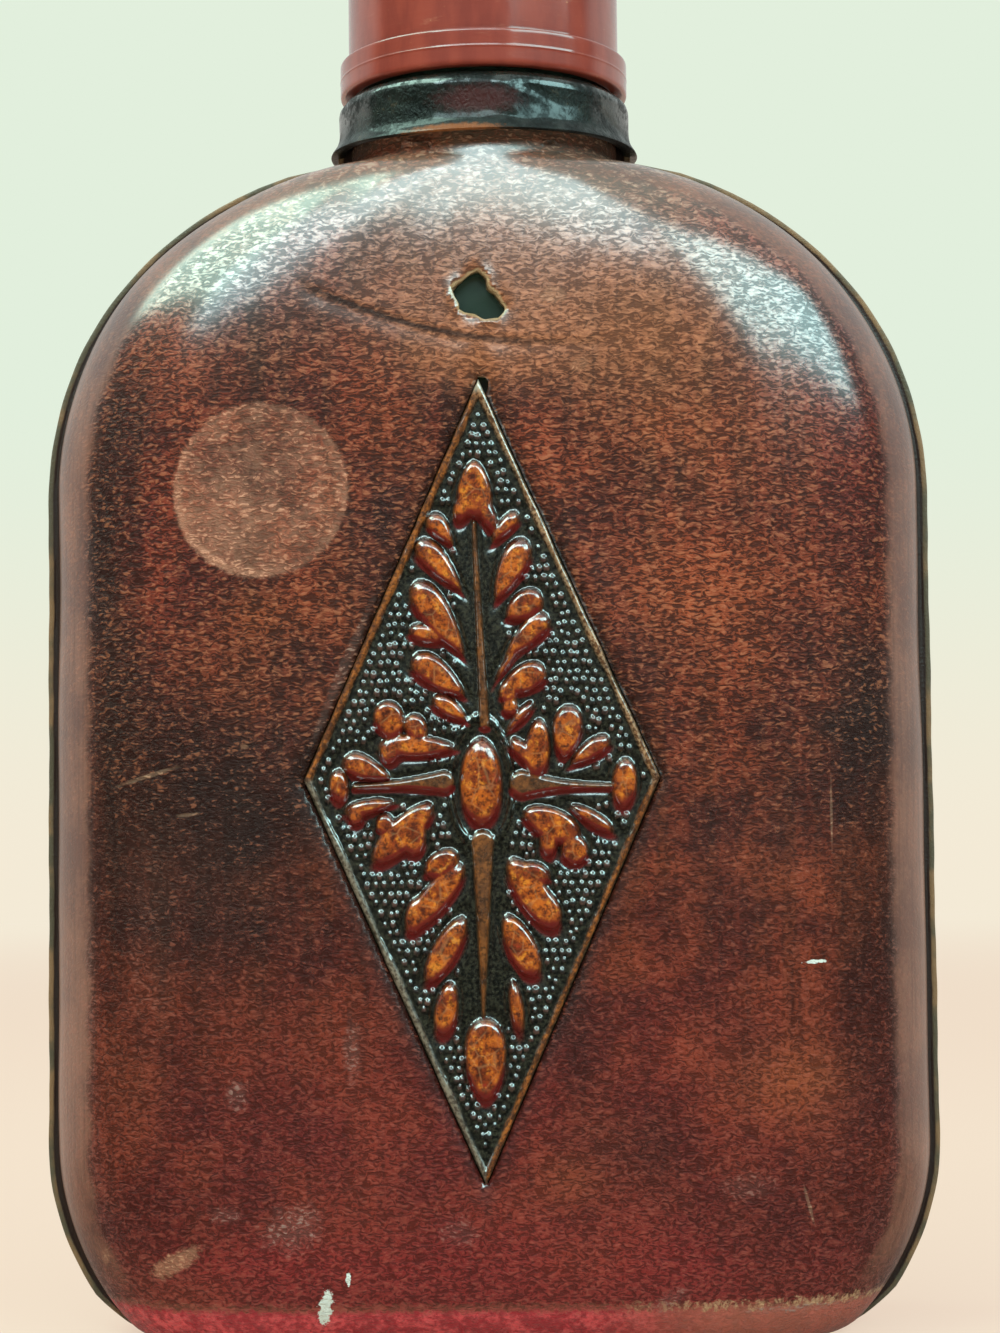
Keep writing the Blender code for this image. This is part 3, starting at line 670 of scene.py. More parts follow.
def neck_folds(x, z):
    """Shallow slanted folds that run down from the collar and fade out on the shoulder."""
    x, z = x / MM, z / MM
    fade = clamp((z - 111.0) / 8.0) ** 2 * clamp((123.2 - z) / 6.0) ** 2 * 2.2
    spread = 1.0 + (124.0 - z) * 0.075
    return -MM * fade * sum(size * bell(x - across * spread, width) for across, size, width in NECK_FOLDS)


def flush_top(z):
    """1 over most of a cover, easing to 0 at its top edge, which stays round under the collar."""
    return clamp((123.5 * MM - z) / (3.0 * MM))


def front_relief(x, z):
    """Everything that lifts or sinks the front cover, in metres."""
    window = np.maximum(lozenge_distance(x, z), 0.0) / MM
    tear = np.maximum(tear_distance(x, z), 0.0) / MM
    total = swell(x, z) + crease(x, z)[0] + neck_folds(x, z)
    total *= (1.0 - bell(window, 1.5)) * flush_top(z)
    total += MM * (0.10 * bell(window - 2.0, 1.4) - 0.18 * bell(window, 0.7))
    return total + MM * 0.14 * bell(tear, 0.6) * np.sin(1.7 * x / MM + 0.9)


# %% Draw the grid's points to the outlines
def draw_to_openings(turn, z, reach):
    """Move turns and heights so that points within reach of an opening's outline lie on it.

    Each step goes against the outline's distance along its slope, and four steps settle it.
    """
    turn, z = turn.copy(), z.copy()
    small = 0.01 * MM
    here = glass_skin(turn, z, cover_offset)
    near = (np.abs(opening_distance(here[..., 0], here[..., 2])) < reach) & (here[..., 2] > base_z)
    for _ in range(4):
        here = glass_skin(turn, z, cover_offset)
        x, up = here[..., 0], here[..., 2]
        gap = opening_distance(x, up)
        slope_x = (opening_distance(x + small, up) - opening_distance(x - small, up)) / (2.0 * small)
        slope_z = (opening_distance(x, up + small) - opening_distance(x, up - small)) / (2.0 * small)
        steep = np.maximum(slope_x**2 + slope_z**2, 0.25)
        turn = np.where(near, turn - gap * slope_x / steep / (half_width(z) * np.cos(turn)), turn)
        z = np.where(near, z - gap * slope_z / steep, z)
    return turn, z, near


def faces_outside(faces, gap, near):
    """Keep the faces outside the openings, split along a diagonal where one joins two drawn points."""
    level = np.where(near.ravel(), 0.0, gap.ravel())[faces]
    within, beyond = (level < 0.0).any(axis=1), (level > 0.0).any(axis=1)
    keep = faces[~within & beyond].tolist()
    mixed, mixed_level = faces[within & beyond], level[within & beyond]
    odd = (mixed_level[:, 0] == 0.0) & (mixed_level[:, 2] == 0.0)
    for turned, chosen in ((0, odd), (1, ~odd)):
        quads = np.roll(mixed[chosen], -turned, axis=1)
        levels = np.roll(mixed_level[chosen], -turned, axis=1)
        for order in ([0, 1, 2], [0, 2, 3]):
            outside = (levels[:, order].min(axis=1) >= 0.0) & (levels[:, order].max(axis=1) > 0.0)
            keep += quads[outside][:, order].tolist()
    return keep


# %% [markdown]
# # Tones of the dye
# Broad changes of tone follow this one flask rather than any pattern, so they are painted: each is a
# few soft spots, worked out at every point of the cover and stored as a mask. The material then breaks
# their edges up with noise.

# %% Soft spots: across, up, half across, half up, amount
WORN = [(0, 109, 24, 9, 0.75), (16, 103, 15, 9, 0.65), (-2, 100.5, 8, 4, 0.45),
        (-6, 119, 14, 5, 0.4), (22, 88, 12, 9, 0.35), (8, 117, 12, 5, 0.3),
        (-27, 100, 9, 7, 0.25), (10, 22, 5, 4, 0.25), (33, 27, 3, 2, 0.3)]
DARK = [(38.4, 63.9, 5, 8, 0.6), (36.9, 62.6, 4.4, 1.4, 0.7), (-27.2, 53.8, 4.4, 4.2, 0.6),
        (15.2, 20.4, 4, 4.5, 0.75), (-31, 58, 9, 14, 0.6),
        (-27, 43, 13, 15, 0.6), (-19.5, 56, 2.5, 8, 0.6), (9, 30, 3, 9, 0.6),
        (-39, 98, 4, 9, 0.25), (38, 35, 6, 25, 0.4), (-38, 70, 3.5, 25, 0.45),
        (24, 45, 9, 20, 0.15), (27, 12, 9, 5, 0.45), (-22, 70, 3, 6, 0.25),
        (-12, 80, 4, 9, 0.35), (33, 84, 6, 14, 0.25), (-9, 34, 4, 8, 0.4)]
RED = [(-22, 7.5, 13, 4, 1), (0, 3, 40, 3.2, 1), (4, 9, 20, 5, 0.6), (20, 8, 8, 4, 0.6),
       (0, 22, 40, 18, 0.45), (34, 9, 4, 3, 0.5), (-33, 80, 5, 12, 0.3),
       (38, 92, 5, 14, 0.35), (24, 78, 10, 12, 0.15)]
ORANGE = [(30.3, 27, 6.5, 4, 1), (-22.6, 74, 3.8, 2.4, 0.7), (-24, 71, 7, 8, 0.12),
          (-0.5, 101, 5, 3.2, 0.9), (22, 76, 9, 7, 0.6),
          (7.5, 17.5, 4, 3, 0.7), (-37, 27, 4, 6, 0.5), (2, 103, 9, 4, 0.5),
          (20, 95, 12, 6, 0.35), (9, 10, 5, 3, 0.3), (-30.5, 6, 5, 2.5, 0.4)]


def spots(x, z, rows):
    """Sum of soft round spots, each fading as the exponential of minus its squared distance."""
    total = np.zeros_like(x)
    for across, up, half_across, half_up, amount in rows:
        total += amount * np.exp(-(((x / MM - across) / half_across) ** 2 + ((z / MM - up) / half_up) ** 2))
    return total


def rim_roll(x, z):
    """1 on the smooth roll beside the seam and 0 on the grained face.

    The gap to the outline along the level, times the cosine of the outline's slope, is the distance
    square to it.
    """
    slope = (half_width(z + 0.05 * MM) - half_width(z - 0.05 * MM)) / (0.1 * MM)
    away = (half_width(z) - np.abs(x)) / np.sqrt(1.0 + slope**2) / MM
    roll = clamp((3.5 - away + 0.25 * np.sin(z / MM * 0.9)) / 0.7)
    return roll * clamp((z / MM - 5.0) / 5.0) * clamp((122.0 - z / MM) / 4.0)


def side_shade(x):
    """Painted shade towards the two sides, where the body turns away from the front."""
    return 0.55 * clamp((np.abs(x) / MM - 31.0) / 12.0) ** 1.5


# %% Rows, columns and thickness of a cover
FRONT_COLUMNS, REAR_COLUMNS = 189, 111
BASE_ROWS = 8
LEATHER = 1.2 * MM


def column_turns(count, crowd):
    """Turns from the left side to the right, crowded towards the middle by a share."""
    share = np.linspace(-1.0, 1.0, count)
    return 0.5 * math.pi * share * (1.0 - crowd + crowd * np.abs(share) ** 1.2)


def cover_points(turn, z, relief, side):
    """A cover's outer skin, closed over the flat base and kept on its own side of the seam plane.

    The last ring is drawn in steps to the seam plane. Where the relief swells past the plane the flask
    stands on, the foot is worn flat to that plane.
    """
    points = glass_skin(turn, z, cover_offset + relief)
    base = np.repeat(points[-1:], BASE_ROWS, axis=0)
    base[..., 1] *= 1.0 - np.linspace(0.0, 1.0, BASE_ROWS + 1)[1:, None]
    points = np.concatenate([points, base])
    points[..., 2] = np.maximum(points[..., 2], 0.0)
    points[..., 1] = side * np.minimum(points[..., 1], cover_high.y)
    return points


def add_cover(mesh, node, material):
    """Add a cover as a piece, thickened inwards, with the raw edge's material on its rim."""
    piece = add_piece(weld(mesh, outwards=False), "flask", node, [material, raw_edge])
    wall = piece.modifiers.new("leather thickness", "SOLIDIFY")
    wall.thickness = LEATHER
    wall.offset = -1.0
    wall.use_rim = True
    wall.material_offset_rim = 1


# %% The front cover
turn, level = np.meshgrid(column_turns(FRONT_COLUMNS, 0.40), body_rows(1.0))
turn, level, drawn = draw_to_openings(turn, level, 0.30 * MM)
flat = glass_skin(turn, level, cover_offset)
points = cover_points(turn, level, front_relief(flat[..., 0], flat[..., 2]), 1.0)
x, z = points[..., 0], points[..., 2]
drawn = np.concatenate([drawn, np.zeros((BASE_ROWS, FRONT_COLUMNS), dtype=bool)])
faces = faces_outside(grid_faces(*x.shape)[:, ::-1], opening_distance(x, z), drawn)
_, crease_shadow_line, crease_band = crease(x, z)
# A dark line painted round the window: the painted shadow in the gap between the leather and the plaque.
window_shadow_line = 0.8 * bell(np.abs(lozenge_distance(x, z)) / MM, 1.1)
add_cover(mesh_from(
    "front_leather", points, faces,
    worn=clamp(spots(x, z, WORN)),
    # The dark mask also holds painted shade: the turning sides, and the shadow lines round the window and along
    # the crease.
    dark=clamp(spots(x, z, DARK) + side_shade(x) + window_shadow_line + crease_shadow_line),
    red=clamp(spots(x, z, RED)),
    orange=clamp(spots(x, z, ORANGE)),
    rim=np.exp(-np.maximum(tear_distance(x, z), 0.0) / (0.35 * MM)),
    # The band under the crease takes a little of the roll's greyer colour, which is partly a painted sheen.
    side=np.maximum(rim_roll(x, z), 0.25 * crease_band),
), "front_cover", front_finish)

# %% The rear cover
turn, level = np.meshgrid(column_turns(REAR_COLUMNS, 0.15), body_rows(0.42))
flat = glass_skin(turn, level, cover_offset)
x, z = flat[..., 0], flat[..., 2]
points = cover_points(turn, level, (swell(x + 7.0 * MM, z) + neck_folds(-x, z)) * flush_top(z), -1.0)
x, z = points[..., 0], points[..., 2]
add_cover(mesh_from(
    "rear_leather", points, grid_faces(*x.shape),
    worn=clamp(spots(-x, z, WORN[:1] + WORN[4:6])),
    dark=clamp(spots(-x, z, DARK[2:4] + DARK[6:10]) + side_shade(x)),
    red=clamp(spots(-x, z, RED[1:])),
    orange=clamp(spots(-x, z, ORANGE[1:3])),
    side=rim_roll(x, z),
), "rear_cover", rear_finish)

# %% [markdown]
# # The seam
# Where the two covers meet at the sides, their edges are turned out, glued and trimmed to a narrow
# ridge. Its cut tip is pale, and its faces are painted nearly black as shade in the groove. It is a small
# rounded section carried along the outline of the flask, drawn back until it is flush under the foot.

# %% Seam finish
seam_finish, shader, place = new_finish("seam edge")
tip = painted(place, "tip") + (cloud(stretch(place, (0.8, 0.8, 0.25)), 1.0, 4.0, 0.6) - 0.5) * 0.5
pale = mix(cloud(place, 0.16, 3.0, 0.6).step(0.42, 0.62), (96, 84, 66), (146, 110, 78))
# The near-black faces are painted shade of the seam's groove; the tip keeps its pale cut colour.
finish(shader, mix(tip.step(0.35, 0.7), (52, 30, 24), pale), 0.5, cloud(place, 3.0, 3.0, 0.6), 0.08 * MM)

# %% Carry the section along the outline
SEAM_ROOT = 0.8 * MM
SEAM_REACH = 2.7 * MM
SEAM_FLUSH = 1.45 * MM
# Outward share of the reach, and distance from the seam plane in mm, round the ridge's section
SEAM_SECTION = [(0, 0.15), (0.5, 0.15), (0.9, 0.15), (0.975, 0.17), (1, 0.27), (1, 0.62), (0.975, 0.76),
                (0.90, 0.82), (0.74, 0.74), (0.60, 0.62), (0.45, 0.70), (0.30, 1.05), (0, 1.25)]


def round_the_flask(line):
    """A line of points down the right side, carried on under the base and up the left side."""
    under = np.linspace(1.0, -1.0, 60)[1:-1, None]
    return np.concatenate([line, line[-1] * [1, 0, 0] * under + line[-1] * [0, 0, 1], line[::-1] * [-1, 1, 1]])


def seam_ridge(side):
    """The ridge from the collar, down one side, under the base and up the other.

    At each height the outline gives the outward direction. The reach eases from full to flush over the
    heel, and small waves keep the trimmed edge from being ruled.
    """
    rows = body_rows(0.7)
    rows = rows[rows < neck_foot_z + 1.5 * MM]
    reach = SEAM_FLUSH + (SEAM_REACH - SEAM_FLUSH) * clamp((rows - base_z) / (4.0 * MM)) ** 0.7
    reach = reach + 0.04 * MM * np.sin(rows / MM * 0.37 + 1.0) + 0.02 * MM * np.sin(rows / MM * 1.3)
    reach = reach + 0.28 * MM * clamp((rows / MM - 118.0) / 3.0)
    roots = round_the_flask(glass_skin(0.5 * math.pi, rows, SEAM_ROOT))
    edges = round_the_flask(glass_skin(0.5 * math.pi, rows, reach))
    section = np.array(SEAM_SECTION)
    points = roots[:, None] + (edges - roots)[:, None] * section[None, :, :1]
    points[..., 1] = side * section[None, :, 1] * MM
    return points, np.broadcast_to(section[None, :, 0], points.shape[:2])


for name, cover, side in (("front_seam_edge", "front_cover", -1.0), ("rear_seam_edge", "rear_cover", 1.0)):
    points, share = seam_ridge(side)
    rows, columns = share.shape
    ends = [list(range(columns)), list(range(rows * columns))[:-columns - 1:-1]]
    faces = grid_faces(rows, columns, wrap_columns=True).tolist() + ends
    mesh = mesh_from(name, points, faces, tip=clamp((share - 0.62) / 0.20))
    add_piece(weld(mesh), "flask", cover, [seam_finish])

# %% [markdown]
# # The embossed plaque
# The lozenge is a thin sheet of leather, pressed in a metal die: a ridge runs round its edge, a four-armed
# spray of leaves grows from an oval boss, and the ground between is stamped with beads. Such a relief is
# a height over a flat sheet, so the whole plaque is one fine grid of points, lifted by a sum of leaf,
# stem, bead and ridge heights.

# %% Leaves, in mm from the boss: across, up, half length, half breadth, lean of the tip, taper
LEAVES = [
    (-0.5, 29.3, 2.9, 1.7, 0, -0.3), (-1.9, 27.2, 1.3, 0.75, 10, 0), (0.9, 26.6, 1.9, 0.75, -20, 0),
    (2.6, 25.4, 1.9, 0.75, 40, 0.3), (-3.9, 25.2, 1.9, 0.9, -36, 0.5), (-4.1, 21.6, 3.3, 1.15, -40, 0.45),
    (3.1, 21.1, 3.4, 1.3, 26, 0.4), (-4.2, 16.2, 4.4, 1.45, -33, 0.45), (-5.6, 14.6, 1.7, 0.9, -70, 0.1),
    (4.4, 17.4, 2.1, 1.35, 55, 0.2), (4.7, 14.4, 2.9, 1.1, 45, 0.4), (2.6, 11.6, 1.9, 0.35, 35, 0),
    (-4.3, 10.4, 3.2, 1.35, -52, 0.4), (-3.2, 7.1, 2, 0.9, -54, 0.25), (4.4, 10, 2.3, 1.4, 62, 0.2),
    (2.7, 8.6, 1.1, 0.9, 0, 0), (3.9, 6.2, 1.9, 0.55, 42, 0.2), (2.9, 7.2, 0.9, 0.8, 0, 0),
    (-9.3, 6, 1.9, 1.5, -15, 0.1), (-6.6, 5.2, 1.4, 1.1, -20, 0), (-6.5, 3.3, 3.7, 1.1, -88, 0.2),
    (-9.3, 2.6, 1.1, 0.9, 0, 0), (-11.6, 1.1, 2.5, 1.1, -68, 0.5), (-14.4, -0.7, 1.7, 0.95, -5, 0),
    (4.2, 2.5, 1.9, 0.75, -40, 0.2), (5.6, 3, 2.9, 1.25, 5, -0.1), (8.6, 4.6, 2.7, 1.45, 8, 0.25),
    (10.9, 2.7, 2.3, 0.9, 55, 0.3), (14.3, -0.6, 2.5, 1.25, 5, 0.05),
    (-11.3, -2.7, 2.4, 0.75, -100, 0.2), (-12.7, -3.7, 0.9, 0.7, 180, 0), (-8, -5.4, 4.1, 1.5, -135, 0.1),
    (-6.9, -5.8, 1.9, 1.2, 180, 0), (-9.8, -4.5, 1.1, 0.9, 0, 0),
    (6.9, -4.6, 3, 1.55, 115, 0.1), (6.6, -6.2, 1.7, 0.9, 180, 0), (9.2, -7.3, 1.5, 1.35, 0, 0),
    (11, -4.1, 2.4, 0.75, 122, 0.15),
    (-4.2, -8.5, 1.9, 1.2, -125, 0), (-4.7, -11.8, 4.1, 1.4, -140, 0.05), (-6.9, -13.7, 1.7, 0.9, -172, 0),
    (-3.8, -17.1, 3.7, 1.3, -150, 0.05), (-3.8, -23, 2.7, 1.15, -170, 0.1),
    (4.9, -11.6, 4.1, 1.6, 148, 0.05), (5.3, -9.5, 1.5, 1, 115, 0), (6.7, -13.2, 1.7, 1, 160, 0),
    (3.7, -16.8, 3.4, 1.45, 155, 0.15), (3.2, -22.8, 2.6, 0.7, 172, 0.1),
    (0.05, -28.1, 4.1, 2, 180, -0.25),
]
# From the root, across and up, to the tip, with the half breadth at each and how fast it narrows
STEMS = [
    ((0.3, 5.4), (-0.6, 26), 0.46, 0.18, 0.8),
    ((-3.9, -0.3), (-12.8, -0.7), 1.10, 0.30, 2.2),
    ((4.1, -0.6), (13, -0.9), 1.35, 0.28, 2.4),
    ((0, -6.3), (-0.1, -23.8), 1.10, 0.14, 1.1),
]
BOSS = (-0.1, -0.3, 4.4, 2.15, 0, -0.05)


# %% Distances inside the leaves and stems
def leaf_depth(x, z, leaf):
    """Distance in mm inside a leaf's edge, below zero outside.

    A leaf is an oval on its own two axes whose breadth grows or shrinks from root to tip.
    """
    across, up, half_long, half_broad, lean, taper = leaf
    lean = math.radians(lean)
    along = ((x - across) * math.sin(lean) + (z - up) * math.cos(lean)) / half_long
    aside = ((x - across) * math.cos(lean) - (z - up) * math.sin(lean)) / half_broad
    aside = aside / (1.0 + taper * np.clip(along, -1.0, 1.0))
    return (1.0 - np.hypot(along, aside)) * min(half_long, half_broad)


def stem_depth(x, z, stem):
    """Distance in mm inside a tapering stem: its half breadth there, less the distance to its line."""
    (x0, z0), (x1, z1), root, tip, pace = stem
    span = np.array([x1 - x0, z1 - z0])
    share = clamp(((x - x0) * span[0] + (z - z0) * span[1]) / (span @ span))
    breadth = tip + (root - tip) * (1.0 - share) ** pace
    return breadth - np.hypot(x - x0 - share * span[0], z - z0 - share * span[1])


def relief_depths(x, z):
    """Depths inside the leaves, the boss and the stems, with a soft maximum over the leaves.

    A soft maximum is the logarithm of a sum of exponentials; it runs the lobes of a leaf together.
    """
    softness = 0.16
    total = sum(np.exp(np.clip(leaf_depth(x, z, leaf) / softness, -60.0, 60.0)) for leaf in LEAVES)
    spray = softness * np.log(np.maximum(total, 1e-26))
    return spray, leaf_depth(x, z, BOSS), np.maximum.reduce([stem_depth(x, z, stem) for stem in STEMS])


def edge_distance(x, z):
    """Distance in mm inside the lozenge's edge."""
    return -lozenge_distance(x * MM + plaque_x, z * MM + plaque_z) / MM


def pillow(depth, rounding):
    """0 at an edge, rising in a quarter circle to 1 at a rounding's distance inside it."""
    return np.sqrt(np.maximum(1.0 - (1.0 - clamp(depth / rounding)) ** 2, 0.0))


# %% Beads on the outer ground
BEAD_RADIUS = 0.31
BEAD_PITCH = 1.04
BEAD_JITTER = 0.17
seeded = np.random.default_rng(7)


def ground_is_bare(x, z):
    """True where the die left no bead: near leaves, stems and the ridge, and along the two axes."""
    spray, boss, stems = relief_depths(x, z)
    near = (spray > -0.36) | (boss > -1.6) | (stems > -1.0) | (edge_distance(x, z) < 1.15)
    near |= (np.abs(x) < 2.6) & (z > -25.0) & (z < 26.0)
    return near | (np.abs(z + 0.5) < 1.5) & (np.abs(x) < 13.5)


def bead_height(x, z):
    """Height of the beads in mm: small domes on a slanted lattice that follows the lozenge's sides.

    Each place looks at the four lattice points round it; seeded tables shift every bead a little and
    give it its size.
    """
    half_x, half_z = plaque_half_width / MM, plaque_half_height / MM
    count = int(math.hypot(half_x, half_z) / BEAD_PITCH)
    a = (z / half_z + x / half_x) * 0.5 * count
    b = (z / half_z - x / half_x) * 0.5 * count
    shift = seeded.uniform(-BEAD_JITTER, BEAD_JITTER, (2 * count + 3, 2 * count + 3, 2))
    size = seeded.uniform(0.70, 1.12, shift.shape[:2])
    number = np.arange(-count - 1, count + 2)
    row, column = np.meshgrid(number, number, indexing="ij")
    at_x = (row - column) * half_x / count + shift[..., 0]
    at_z = (row + column) * half_z / count + shift[..., 1]
    size = np.where(ground_is_bare(at_x, at_z), 0.0, size)
    height = np.zeros_like(x)
    for step_a, step_b in ((0, 0), (0, 1), (1, 0), (1, 1)):
        i = np.clip(np.floor(a).astype(int) + step_a + count + 1, 0, 2 * count + 2)
        j = np.clip(np.floor(b).astype(int) + step_b + count + 1, 0, 2 * count + 2)
        radius = np.maximum(BEAD_RADIUS * size[i, j], 1e-6)
        away = np.hypot(x - at_x[i, j], z - at_z[i, j]) / radius
        height = np.maximum(height, radius * np.sqrt(np.maximum(1.0 - away**2, 0.0)))
    return height


# %% The whole relief, in millimetres
LEAF_HEIGHT = 0.85
BOSS_HEIGHT = 1.15
STEM_HEIGHT = 0.55
BOSS_RING_HEIGHT = 0.30
RIDGE_IN = 0.36
RIDGE_HALF = 0.34
RIDGE_HEIGHT = 0.42
TROUGH_DEPTH = 0.16
SLOPE_STEP = 0.15


def plaque_relief(x, z):
    """Height in mm over the ground at places in mm from the boss, with masks for the finish."""
    spray, boss, stems = relief_depths(x, z)
    edge = np.maximum.reduce([spray, boss, stems])
    wander = 0.07 * np.sin(0.55 * x - 0.31 * z) + 0.05 * np.sin(1.3 * z + 0.7 * x + 1.0)
    ridge = RIDGE_HALF + wander - np.abs(edge_distance(x, z) - RIDGE_IN)
    beads = bead_height(x, z)
    height = np.maximum.reduce([
        LEAF_HEIGHT * pillow(spray, 0.44) + 0.10 * pillow(spray, 1.3),
        BOSS_HEIGHT * pillow(boss, 0.95) + 0.15 * pillow(boss, 2.2),
        STEM_HEIGHT * pillow(stems, 0.4),
        RIDGE_HEIGHT * pillow(ridge, 0.35),
        BOSS_RING_HEIGHT * pillow(0.28 - np.abs(boss + 1.0), 0.28),
    ])
    trough = TROUGH_DEPTH * bell(edge + 0.25, 0.28) * (edge < 0.0)
    rolling = 0.05 * np.sin(0.9 * x + 0.3 * z) + 0.04 * np.sin(0.5 * z - 0.7 * x + 2.0)
    rising = (np.maximum.reduce(relief_depths(x, z + SLOPE_STEP)) - edge) / SLOPE_STEP
    petal = np.maximum(spray, boss)
    masks = {
        "leaf": clamp(petal / 0.30 + 0.3),
        "inward": clamp(petal / 1.3),
        # Foot: the lower edges of the leaves, where red dye and painted shade are laid.
        "foot": clamp(1.6 * rising) * clamp(1.25 - np.abs(edge - 0.05) / 0.5),
        "stem": clamp(stems / 0.2 + 0.4),
        "ridge": clamp(ridge / 0.25 + 0.3),
        "bead": clamp(beads / 0.2),
    }
    return np.maximum(height, beads) + rolling * (height > 0.2) - trough, masks


# %% [markdown]
# # The plaque's finish
# The pressed sheet was dyed near black and rubbed back, so that the leaves and the ridge came out
# orange-brown while the ground stayed dark, and red dye settled at the feet of the leaves; the crimson is
# painted strongest under their lower edges, as shade there. It was then varnished, which gives the hard
# glints. The masks stored with the relief say where each colour lies.

# %% Plaque finish
plaque_finish, shader, place = new_finish("embossed varnished leather")
across, level = axis(place, "X"), axis(place, "Z")
mottle = cloud(place, 0.55, 4.0, 0.65)
speckle = cloud(place, 2.6, 4.0, 0.7)
patches = cloud(place, 1.1, 3.0, 0.7)
crackle = cells(stretch(place, (0.55, 0.55, 0.55)), "DISTANCE_TO_EDGE").step(0.07, 0.0)
bead, inward = painted(place, "bead"), painted(place, "inward")
right_side, upper = across.step(-2.0, 0.4), level.step(54.0, 61.0)
lower_left = right_side.step(0.6, 0.4) * upper.step(0.6, 0.4)

ground = mix(speckle.step(0.40, 0.68), (16, 17, 14), (60, 58, 46))
dome = mix(mottle.step(0.40, 0.65), (46, 42, 42), (104, 72, 66))
rubbed = layered(
    mix(mottle.step(0.3, 0.7), (96, 52, 28), (158, 90, 42)),
    (speckle.step(0.55, 0.38) * 0.7, (44, 34, 26)),
)
worn_edge = layered(
    mix(patches.step(0.40, 0.60), (128, 66, 32), (192, 106, 42)),
    (right_side * upper * (0.15 + 0.6 * speckle.step(0.42, 0.56)), (206, 168, 134)),
    (lower_left, (150, 132, 116)),
    (speckle.step(0.56, 0.42) * 0.8, (58, 36, 26)),
)
leaf = layered(
    mix(mottle.step(0.38, 0.62), (128, 50, 20), (200, 96, 28)),
    (patches.step(0.54, 0.68) * 0.8, (222, 132, 40)),
    (patches.step(0.46, 0.34) * 0.8, (78, 32, 20)),
    ((patches * speckle).step(0.26, 0.33) * mottle.step(0.5, 0.36) * 0.7, (172, 36, 30)),
    (speckle.step(0.52, 0.38) * 0.75, (64, 27, 17)),
    ((inward + (speckle - 0.5) * 0.35).step(0.30, 0.05) * 0.5, (84, 26, 18)),
    (crackle * inward.step(0.2, 0.7) * 0.18, (214, 160, 110)),
)
colour = layered(
    mix(bead, ground, dome),
    (painted(place, "stem") * (0.55 + 0.45 * mottle), rubbed),
    (painted(place, "ridge") * (0.6 + 0.4 * mottle), worn_edge),
    (painted(place, "leaf"), leaf),
    # Crimson under the lower edges of the leaves: partly red dye, partly painted shade from the light above.
    ((painted(place, "foot") + (speckle - 0.5) * 0.4).step(0.15, 0.6) * 0.85, (118, 22, 24)),
    (level.step(96.4, 97.4) * (0.4 + 0.6 * speckle), (200, 190, 172)),
)
varnish = (0.30 + 0.70 * speckle.step(0.34, 0.54)) * (1.0 - 0.45 * bead)
finish(shader, colour, 0.30 + 0.14 * speckle, speckle * 0.6 + cloud(place, 1.2, 2.0) * 0.4, 0.13 * MM,
       Specular_IOR_Level=0.12, Coat_Weight=varnish * (1.0 - 0.45 * inward.step(0.25, 0.8)),
       Coat_Roughness=0.13, Coat_IOR=2.4)

# %% Press the plaque
PLAQUE_CELLS = 272
PLAQUE_GROUND = plaque_high.y - 1.1 * MM

share = np.linspace(-0.5, 0.5, PLAQUE_CELLS + 1)
first, second = np.meshgrid(share, share)
x = (first - second) * plaque_half_width
z = (first + second) * plaque_half_height
height, masks = plaque_relief(x / MM, z / MM)
height = height - 0.20 * bell(lozenge_distance(x + plaque_x, z + plaque_z), 0.10 * MM)
top = np.stack([x + plaque_x, PLAQUE_GROUND - height * MM, z + plaque_z], axis=-1).reshape(-1, 3)

number = np.arange(len(top)).reshape(x.shape)
ring = np.concatenate([number[0, :-1], number[:-1, -1], number[-1, :0:-1], number[:0:-1, 0]])
skirt = top[ring]
skirt[:, 1] = plaque_high.y
middle = np.array([[plaque_x, plaque_high.y, plaque_z]])
low_ring = len(top) + np.arange(len(ring))
sides = np.stack([ring, np.roll(ring, -1), np.roll(low_ring, -1), low_ring], axis=-1)
fan = np.stack([low_ring, np.roll(low_ring, -1), np.full(len(ring), len(top) + len(ring))], axis=-1)
faces = grid_faces(*x.shape).tolist() + sides.tolist() + fan.tolist()
masks = {name: np.append(values, np.zeros(len(skirt) + 1)) for name, values in masks.items()}
mesh = mesh_from("plaque_relief", np.concatenate([top, skirt, middle]), faces, **masks)
add_piece(weld(mesh, join=0.0), "flask", "lozenge_plaque", [plaque_finish], sharp=75.0)

# %% [markdown]
# # Turned pieces
# The bottle's neck, the collar, the cap and its liner are round: a profile of radius and height carried
# round the axis. Every corner of the profile is rounded, because a real edge always catches a thin line
# of light, and a sharp one in a model never does.

# %% A rounded profile and its turning
around = np.linspace(0.0, 2.0 * math.pi, 145)[:-1]


def rounded(corners, step):
    """Radii and heights through corners given as radius, height and rounding, all in metres.

    Each rounded corner becomes a short bow that starts and ends its rounding away from the corner, and
    points are added along long straight parts, about a step apart.
    """
    corners = np.array(corners, dtype=float)
    points = []
    t = np.linspace(0.0, 1.0, 6)[:, None]
    for k, (r, z, bow) in enumerate(corners):
        here = np.array([r, z])
        if bow == 0.0:
            points.append(here[None])
            continue
        before, after = corners[k - 1, :2] - here, corners[(k + 1) % len(corners), :2] - here
        first = here + before * min(bow / np.linalg.norm(before), 0.5)
        last = here + after * min(bow / np.linalg.norm(after), 0.5)
        points.append((1.0 - t) ** 2 * first + 2.0 * t * (1.0 - t) * here + t**2 * last)
    line = np.concatenate(points)
    counts = np.maximum(1, np.ceil(np.linalg.norm(np.diff(line, axis=0), axis=1) / step).astype(int))
    parts = [start + (end - start) * np.linspace(0.0, 1.0, count + 1)[:-1, None]
             for start, end, count in zip(line, line[1:], counts)]
    line = np.concatenate(parts + [line[-1:]])
    return line[:, :1], line[:, 1:]


